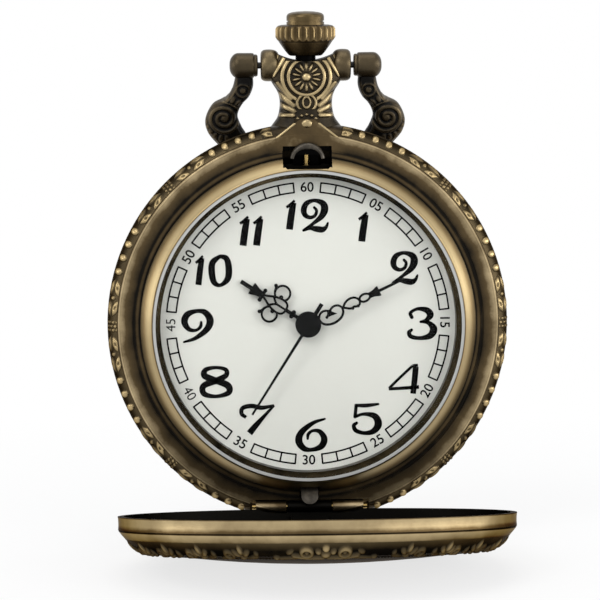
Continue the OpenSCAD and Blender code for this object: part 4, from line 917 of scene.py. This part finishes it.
def wreath_part(name, start, end):
    """A closed strip over the cover's shoulder: the outer skin is the ornament, the inner skin is plain."""
    rows, columns, back = 1000, 62, [WREATH_OUT, 20.4, 19.3, 18.3, WREATH_IN]
    clock = np.linspace(start, end, rows)[:, None]
    radius = np.linspace(WREATH_IN, WREATH_OUT, columns)[None, :]
    height = wreath_height(radius, clock)
    at_edge = (radius < WREATH_IN + 0.01) | (radius > WREATH_OUT - 0.01)
    skin = cover_skin(radius) + np.where(at_edge, -0.03, PROUD + height)
    radii = np.append(radius[0], back)
    plain_skin = np.broadcast_to(cover_skin(radii) - SUNK, (rows, len(radii)))
    out = np.concatenate([skin, plain_skin[:, columns:]], axis=1)
    out[[0, -1]] = plain_skin[0]
    upper = 0.24 * np.clip((radius - 20.5) / 0.9, 0, 1)
    tone = np.clip(0.15 + upper + height * 1.25, 0, 1)
    points = swung(radii, clock, out)
    points[..., 2] = np.maximum(points[..., 2], cad_low.z)
    return carved_piece(name, points, "cover", embossed_bronze, np.pad(tone, ((0, 0), (0, len(back)))))


for part in range(3):
    wreath_part(f"cover_wreath_{part + 1}", part * 120 - 60.3, part * 120 + 60.3)
print("wreath pieces 3")

# %% [markdown]
# ## The pendant
#
# The pendant is the neck between case and crown, and both its faces carry the same carving: a rosette
# in rings, a keyhole, a fan of beads and leaves that wrap round the waist. A caster would carve the
# pattern once and pour it solid. Here it is a loft: an oval section at each height, whose two faces are
# then lifted by the carving. Its top follows the round valley that leaves room for the crown.

# %% The carving on the pendant
STEM_OUT, PIN_UP, ROSETTE_UP = 4.4, 30.2, 28.9


def oval(x, up, half_x, half_up):
    """Distance to an ellipse's line: the length of (x/a, up/b) less one, times the mean half axis."""
    return (np.hypot(x / half_x, up / half_up) - 1) * (half_x + half_up) / 2


def pendant_carving(x, up):
    """Height of the carving: the highest of a rosette of 14 petals, its rings, a keyhole, beads and bars."""
    side, y = np.abs(x), up - ROSETTE_UP
    reach, turn = np.hypot(x, y), np.arctan2(x, y)
    near = nearest(turn, 2 * math.pi / 14)
    petals = dome(reach * np.cos(near) - 1.22, reach * np.sin(near), 0.62, 0.12 + 0.07 * reach, 0.38) - 0.1
    part_ring = (y < 1.9) & ((y > -2.0) | (side > 1.2))
    rings = highest(ridge(reach - 2.1, 0.26, 0.3), part_ring * ridge(reach - 2.83, 0.28, 0.3))
    keyhole = highest((up > 25.15) * ridge(oval(x, up - 25.87, 1.1, 0.98), 0.2, 0.26),
                      ridge(oval(x, up - 25.95, 0.44, 0.62), 0.18, 0.26))
    beads = [
        dome(x - 1.35 * math.sin(angle), up - 23.35 - 1.2 * math.cos(angle), 0.22, 0.22, 0.24)
        for angle in np.radians(26 * np.arange(-3, 4))
    ]
    leaves = [
        bar(side, up, inner, outer, half, 0.26)
        for inner, outer, half in (((1.6, 24.45), (3.6, 24.5), 0.3), ((1.5, 24.95), (3.3, 25.75), 0.34),
                                   ((1.55, 25.6), (3.3, 26.9), 0.36), ((1.85, 26.4), (3.4, 28.1), 0.34))
    ]
    straps = (bar(side, up, (2.6, 31.1), (3.85, 29.05), 0.27, 0.32),
              bar(side, up, (3.2, 31.5), (4.35, 28.7), 0.16, 0.16))
    rosette = highest(petals, dome(x, y, 0.55, 0.55, 0.36), (reach > 1.9) * rings)
    return highest(rosette, keyhole, *beads, *leaves, *straps)


# %% Loft the pendant
PENDANT_LOW, PENDANT_HIGH = 21.3, 32.0
WIDTHS = smooth([(5.3, 21.0), (4.95, 22.0), (4.3, 22.8), (3.75, 23.6), (3.35, 24.3), (3.13, 25.2), (3.06, 26.2),
                 (3.16, 27.0), (3.42, 27.6), (3.85, 28.1), (4.2, 28.6), (4.3, 29.3), (4.3, 30.2), (4.1, 31.4),
                 (3.9, 32.4)], 300)
DEPTHS = smooth([(2.6, 21.0), (2.55, 22.8), (2.38, 24.3), (2.25, 25.6), (2.2, 27.0), (2.25, 28.4), (2.2, 30.0),
                 (1.9, 31.2), (1.5, 32.4)], 300)
VALLEY_BALL, VALLEY_LOW = 6.2, 30.5
SQUARE = 2 / 2.3  # an ellipse has 1; less than that fills its corners


def valley(x, deep):
    """Top of the pendant: the lower of its full height and a round valley about the crown's axis."""
    ball = VALLEY_LOW + VALLEY_BALL - np.sqrt(np.clip(VALLEY_BALL**2 - x * x - deep * deep, 4, None))
    return np.minimum(PENDANT_HIGH, ball)


def bulge(wave, power):
    """A sine or cosine raised to a power, with its sign kept, for an oval that is fuller than an ellipse."""
    return np.sign(wave) * np.abs(wave) ** power


def pendant_cast():
    """Oval sections stacked upwards, then shrunk to a point across the top and across the bottom."""
    rows, columns, cap = 240, 336, 10
    shut = np.linspace(1, 0, cap + 1)[1:]
    level = np.pad(np.linspace(PENDANT_LOW, PENDANT_HIGH, rows), cap, mode="edge")[:, None]
    scale = np.concatenate([shut[::-1], np.ones(rows), shut])[:, None]
    turn = full_turn(columns)
    x = np.interp(level, WIDTHS[:, 1], WIDTHS[:, 0]) * scale * bulge(np.sin(turn), SQUARE)
    deep = np.interp(level, DEPTHS[:, 1], DEPTHS[:, 0]) * scale * bulge(np.cos(turn), SQUARE)
    up = PENDANT_LOW + (level - PENDANT_LOW) * (valley(x, deep) - PENDANT_LOW) / (PENDANT_HIGH - PENDANT_LOW)
    carving = pendant_carving(x, up) * scale**4 * np.clip(3.2 * np.abs(np.cos(turn)), 0, 1)
    carving = carving * np.clip((valley(x, deep) - up + 0.04) / 0.16, 0, 1)
    out = STEM_OUT + deep + np.sign(np.cos(turn)) * carving
    tone = np.clip(0.2 + carving * 1.9 + 0.12 * np.clip((np.abs(x) - 2.4) / 2, 0, 1), 0, 1)
    return carved_piece("pendant_cast", upright(x, up, out), "case", carved_bronze, tone)


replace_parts(pendant_cast(), "pendant")


# %% The pendant's ears, turned about the line of the bow's pins
def turned_on_pin(name, profile, side, body, tone):
    """A profile of (distance from the middle, radius) turned about the line of the bow's pins."""
    line, turn = smooth(profile, 90), full_turn(96)
    radius = np.clip(line[:, 1:], 0, None)
    points = upright(side * line[:, :1], PIN_UP + radius * np.cos(turn), STEM_OUT + radius * np.sin(turn))
    return carved_piece(name, points, body, carved_bronze, tone)


SIDES = ((1, "right"), (-1, "left"))
EAR = [(3.0, 0), (3.02, 0.7), (3.15, 1.3), (3.45, 1.68), (3.9, 1.84), (4.5, 1.86), (4.9, 1.8), (5.14, 1.64),
       (5.24, 1.42), (5.25, 1.0), (5.25, 0.5), (5.25, 0)]
for side, word in SIDES:
    turned_on_pin(f"pendant_ear_{word}", EAR, side, "case", 0.5)

# %% The bead at the plate's peak, and the bright edges that polishing leaves on the plate
turn, tilt = full_turn(48), np.linspace(0, math.pi, 25)[:, None]
bead = upright(0.64 * np.sin(tilt) * np.cos(turn), 23.5 + 0.52 * np.sin(tilt) * np.sin(turn),
               7.2 + 0.32 * np.cos(tilt))
carved_piece("pendant_bead", bead, "case", carved_bronze, 0.72)


def wire(name, path, radius, tone):
    """A round wire along a path of (x, up, out): a circle carried square to the path, thinned at its ends."""
    line = smooth(path, 80)
    way = np.gradient(line, axis=0)
    way /= np.linalg.norm(way, axis=1, keepdims=True)
    side = np.cross(way, [0, 0, 1.0])
    side /= np.linalg.norm(side, axis=1, keepdims=True)
    rise = np.cross(side, way)
    thin = radius * np.sqrt(np.clip(1 - np.linspace(-1, 1, len(line)) ** 8, 0, None))[:, None, None]
    turn = full_turn(16)[..., None]
    points = line[:, None] + (side[:, None] * np.cos(turn) + rise[:, None] * np.sin(turn)) * thin
    return carved_piece(name, upright(*np.moveaxis(points, -1, 0)), "case", carved_bronze, tone)


for side, word in SIDES:
    wire(f"peak_edge_{word}", [(side * 1.3, 23.6, 7.2), (side * 1.9, 23.12, 7.21), (side * 2.8, 22.42, 7.23),
                               (side * 4.0, 21.5, 7.26)], 0.16, 0.8)
print("pendant pieces 6")

# %% [markdown]
# ## The bow
#
# The bow is the hanging loop. It was cast flat in the shape of two scrolls that meet in a round end, and
# it hangs down behind the case. Its two edges are smooth lines; at each step along them the section is a
# flat oval from edge to edge, and its faces are lifted by the carving: a small boss, a spiral scroll, a
# raised rim and a row of short ribs.

# %% The bow's plane and edges
BOW_BACK = math.atan((4.4 - 2.4 + 1.8135) / (6.7 + 3.5))


def hung(u, v, w):
    """A point of the bow: u sideways, v down its plane from the pins, w towards the reader."""
    down, back = math.cos(BOW_BACK), math.sin(BOW_BACK)
    return upright(u, PIN_UP - v * down - w * back, STEM_OUT - v * back + w * down)


OUTER = [(8.1, 0.5), (8.25, 1.5), (8.6, 2.9), (9.4, 4.1), (10.9, 4.9), (11.75, 6.8), (11.4, 8.5), (10.1, 10.2),
         (9.3, 11.4), (8.95, 13.2), (7.6, 16.2), (4.6, 18.9), (0, 20.2)]
INNER = [(6.3, 0.5), (6.15, 1.5), (6.15, 2.6), (6.6, 3.8), (7.5, 4.9), (7.95, 6.3), (7.5, 7.7), (6.9, 8.9),
         (6.9, 10.6), (6.85, 12.2), (5.9, 14.6), (3.5, 17.0), (0, 18.15)]

# %% The carving on the bow
SCROLL_PITCH, SCROLL_R, RIBS = 0.78, 2.05, 22


def bow_carving(u, v, across, half):
    """Height of the carving over the bow's face, from places on the face and the share across it.

    The scroll is an Archimedean spiral: its line stands wherever the reach less pitch * turn / 2 pi is a
    whole number of pitches.
    """
    boss = np.hypot(u - 7.35, v - 2.8)
    rim = highest(ridge((np.abs(across) - 0.74) * half, 0.2, 0.13), dome(u - 7.35, v - 2.8, 0.42, 0.42, 0.24),
                  ridge(boss - 0.78, 0.17, 0.18))
    x, y = u - 9.6, v - 6.3
    reach, turn = np.hypot(x, y), np.arctan2(y, x)
    off = nearest(reach - SCROLL_PITCH * turn / (2 * math.pi), SCROLL_PITCH)
    scroll = reach < SCROLL_R
    face = np.where(scroll, 0.02 + ridge(off, 0.25, 0.2), rim)
    near = nearest(turn, 2 * math.pi / RIBS)
    ribs = dome(reach * np.cos(near) - 2.55, reach * np.sin(near), 0.55, 0.3, 0.2)
    ribs = ribs * (~scroll & (turn > -2.6) & (turn < 1.9))
    steps = [dome(u - 8.1 + 0.147 * n**1.2, v - 10.6 - 0.95 * n, 0.5, 0.24, 0.14) for n in range(5)]
    return highest(face, dome(x, y, 0.36, 0.36, 0.26), ribs, *steps)


# %% Sweep the bow from one knob round to the other
def bow_cast():
    """Flat ovals from edge to edge, from one knob round the loop to the other."""
    half_count, columns = 380, 112
    edges = smooth(OUTER, half_count), smooth(INNER, half_count)
    outer, inner = (np.concatenate([edge, edge[-2::-1] * (-1, 1)]) for edge in edges)
    middle, reach = (outer + inner) / 2, (outer - inner) / 2
    half = np.linalg.norm(reach, axis=1)[:, None]
    turn = full_turn(columns)
    across, face = bulge(np.cos(turn), 0.8), bulge(np.sin(turn), 0.8)
    u = middle[:, :1] + reach[:, :1] * across
    v = middle[:, 1:] + reach[:, 1:] * across
    thick = np.interp(middle[:, 1], [0.5, 1.6, 3, 11, 20], [0.86, 0.9, 0.96, 1.0, 1.05])[:, None]
    carving = bow_carving(np.abs(u), v, across, half) * np.clip((v - 1.4) / 0.8, 0, 1)
    rising = np.clip(2.5 * np.abs(np.sin(turn)), 0, 1)
    shell = 0.16 * np.clip(1.5 - np.abs(u), 0, 1) * (0.5 + 0.5 * np.cos(u * 9)) * (v > 17)
    w = face * (thick + shell) + np.sign(face) * np.clip(carving, 0, 0.2) * rising
    tone = np.clip(0.06 + carving * rising * 1.3 + 0.3 * np.clip((across - 0.6) * 2.5, 0, 1), 0, 1)
    points = np.stack([u, v, w])
    points[:, [0, -1]] = points[:, [0, -1]].mean(2, keepdims=True)
    return carved_piece("bow_cast", hung(*points), "bow", carved_bronze, tone)


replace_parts(bow_cast(), "bow")
KNOB = [(5.6, 0), (5.6, 0.6), (5.62, 1.12), (5.72, 1.26), (5.92, 1.3), (6.02, 1.28), (6.12, 1.42), (6.4, 1.46),
        (7.2, 1.47), (8.0, 1.46), (8.4, 1.28), (8.7, 0.92), (8.86, 0.5), (8.9, 0)]
for side, word in SIDES:
    turned_on_pin(f"bow_knob_{word}", KNOB, side, "bow", 0.36)
print("bow pieces 3")

# %% [markdown]
# ## The crown
#
# The crown is turned on a lathe and then fluted by a cutter that runs along it. The cutter leaves a round
# groove, and the two turned slopes at the ends of the band cut that groove to a point. So the radius at
# each height and angle is simply the smaller of the turned profile and the fluted one.

# %% Turn and flute the crown
CROWN_UP, CROWN_R, FLUTES = 31.3, 3.5, 24
TURNED = np.array([(0, 0.35), (1.25, 0.33), (1.32, 0.06), (1.42, 0.0), (1.8, 0.02), (1.96, 0.1), (2.3, 0.48),
                   (2.68, 1.0), (3.0, 1.46), (3.1, 1.62), (3.16, 1.72), (3.34, 1.92), (3.5, 2.2), (3.5, 3.12),
                   (3.36, 3.36), (3.16, 3.52), (2.8, 3.6), (2.4, 3.62), (2.3, 3.6), (2.27, 3.5), (2.27, 3.3),
                   (0, 3.3)])


def crown_turned():
    """The smaller of the turned radius and the fluted one, 3.5 - 0.32 * sqrt(1 - (share across / 0.43)^2)."""
    share = np.linspace(0, 1, len(TURNED))
    fine = np.sort(np.concatenate([np.linspace(0, 1, 150), share]))
    radius, up = (np.interp(fine, share, line)[:, None] for line in TURNED.T)
    turn = full_turn(FLUTES * 18)
    across = (turn * FLUTES / (2 * math.pi)) % 1 - 0.5
    fluted = CROWN_R - 0.32 * np.sqrt(np.clip(1 - (across / 0.43) ** 2, 0, None))
    band = (up > 1.6) & (up < 3.59) & (radius > 2.9)
    reach = np.where(band, np.minimum(radius, fluted), radius)
    tone = np.where(band, 0.3 + (reach - 3.18) * 1.6, np.where(up < 1.7, 0.2 + 0.1 * up, 0.42))
    points = upright(reach * np.sin(turn), CROWN_UP + up, STEM_OUT + reach * np.cos(turn))
    return carved_piece("crown_turned", points, "crown", crown_relief, np.clip(tone, 0, 1))


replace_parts(crown_turned(), "crown")

# %% Polished bevel on the latch's nose
NOSE_UP, NOSE_OUT = 19.3, 8.45
turn = np.radians(np.linspace(4, 176, 90))[:, None]
shape = np.array([(1.99, -0.42), (2.06, -0.4), (2.07, -0.28), (1.86, 0.0), (1.62, 0.03), (1.6, -0.02)])
crescent = np.array([0, 0, 0, 0.08, 0.32, 0.33])
radius = shape[:, 0] - crescent * np.sin(turn) ** 3
out = np.tile(NOSE_OUT + shape[:, 1], (len(turn), 1))
radius[[0, -1]], out[[0, -1]] = 1.9, NOSE_OUT - 0.2
bevel = upright(radius * np.cos(turn), NOSE_UP + radius * np.sin(turn), out)
mesh_piece("latch_bevel", bevel, quads(*out.shape), "latch", worn_steel)
print("crown and latch pieces 2")

# %% [markdown]
# ## Studio
#
# The view is from straight in front and a little above, through a long lens. The watch stands on a pale
# floor in white surroundings. Large soft lamps stand left, right and above; the world fills the rest.

# %% Camera
CASE_FRONT = -9.5 * MM
ELEVATION, AZIMUTH, ROLL = (math.radians(angle) for angle in (5.85, -2.2, -0.4))
DISTANCE, LENS, SENSOR = 420.0, 216.6, 36
AIM = Vector((-1.06, 3.1, 0))  # mm to the right of the case's middle and above it, as the camera sees them
backward = Vector((
    math.sin(AZIMUTH) * math.cos(ELEVATION),
    -math.cos(AZIMUTH) * math.cos(ELEVATION),
    math.sin(ELEVATION),
))
camera = bpy.data.objects.new("camera", bpy.data.cameras.new("camera"))
bpy.context.scene.collection.objects.link(camera)
camera.rotation_euler = (backward.to_track_quat("Z", "Y") @ Quaternion((0, 0, 1), ROLL)).to_euler()
target = Vector((0, CASE_FRONT, 0)) + camera.rotation_euler.to_matrix() @ AIM * MM
camera.location = target + backward * DISTANCE * MM
camera.data.lens = LENS
camera.data.sensor_width = SENSOR
camera.data.clip_start = 0.01
bpy.context.scene.camera = camera
print("camera", [round(v / MM, 1) for v in camera.location])

# %% Lamps: a place and a size in mm, and watts
LAMPS_AIM = Vector((0, -8, 0))
LAMPS = {
    "key": ((-320, -420, 420), 360, 1.2),
    "fill": ((420, -380, 160), 420, 0.8),
    "top": ((0, -60, 600), 420, 0.8),
    "low": ((0, -420, -200), 320, 0.25),
    "right": ((520, -40, 60), 300, 1.1),
    "left": ((-520, -40, 60), 300, 0.6),
}
for name, (place, size, watts) in LAMPS.items():
    lamp = bpy.data.lights.new(name, "AREA")
    lamp.shape = "DISK"
    lamp.size = size * MM
    lamp.energy = watts
    stand = bpy.data.objects.new(name, lamp)
    stand.location = Vector(place) * MM
    stand.rotation_euler = (Vector(place) - LAMPS_AIM).to_track_quat("Z", "Y").to_euler()
    bpy.context.scene.collection.objects.link(stand)
print("lamps", len(LAMPS))


# %% White surroundings
def seen_directly(tree):
    """1 for rays that show the surroundings: from the camera, through glass, or off a polished face."""
    ray = add(tree, "ShaderNodeLightPath").outputs
    clear = add(tree, "ShaderNodeMath", {0: ray["Is Camera Ray"], 1: ray["Is Transmission Ray"]},
                operation="MAXIMUM")
    return add(tree, "ShaderNodeMath", {0: clear, 1: ray["Is Glossy Ray"]}, operation="MAXIMUM")


WHITE, SOFT_GREY = (1, 1, 1, 1), (0.55, 0.56, 0.58, 1)
world = bpy.data.worlds.new("studio")
world.use_nodes = True
tree = world.node_tree
tree.nodes["Background"].inputs["Color"].default_value = SOFT_GREY
white = add(tree, "ShaderNodeBackground", Strength=1.0, Color=WHITE)
mix = add(tree, "ShaderNodeMixShader", {"Fac": seen_directly(tree), 1: tree.nodes["Background"], 2: white})
tree.links.new(mix.outputs[0], tree.nodes["World Output"].inputs["Surface"])
bpy.context.scene.world = world
print("world", world.name)

# %% Pale floor
FLOOR_HALF = 1.5
FLOOR_FADE = 30 * MM, 110 * MM  # from the shadow's paper out to plain white
low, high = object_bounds()
floor_z = low.z - 0.2 * MM
mesh = bpy.data.meshes.new("floor")
mesh.from_pydata([(x * FLOOR_HALF, y * FLOOR_HALF, floor_z) for x, y in ((-1, -1), (1, -1), (1, 1), (-1, 1))],
                 [], [(0, 1, 2, 3)])
floor = bpy.data.objects.new("floor", mesh)
bpy.context.scene.collection.objects.link(floor)
# uncoated paper board: a matt near-white that keeps the shadow and glows a little further out
paper = plain("white_paper", "#f4f4f3 #f7f7f6", 0.8, 60, grain_mm=2)
mesh.materials.append(paper)
tree = paper.node_tree
place = add(tree, "ShaderNodeTexCoord")
reach = add(tree, "ShaderNodeVectorMath", {0: place.outputs["Object"]}, operation="LENGTH").outputs["Value"]
fade = add(tree, "ShaderNodeMapRange", {"Value": reach}, From_Min=FLOOR_FADE[0], From_Max=FLOOR_FADE[1],
           To_Min=0.72, To_Max=1.0)
share = add(tree, "ShaderNodeMath", {0: fade, 1: seen_directly(tree)}, operation="MULTIPLY")
glow = add(tree, "ShaderNodeEmission", Strength=1.0, Color=WHITE)
lit = add(tree, "ShaderNodeMixShader", {"Fac": share, 1: tree.nodes["Principled BSDF"], 2: glow})
tree.links.new(lit.outputs[0], tree.nodes["Material Output"].inputs["Surface"])
floor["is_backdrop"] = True
print("floor at", round(floor_z / MM, 2))

# %% Colour management and the visual box
bpy.context.scene.view_settings.view_transform = "Standard"
low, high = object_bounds()
print("visual box", [round(v / MM, 2) for v in (*low, *high)])
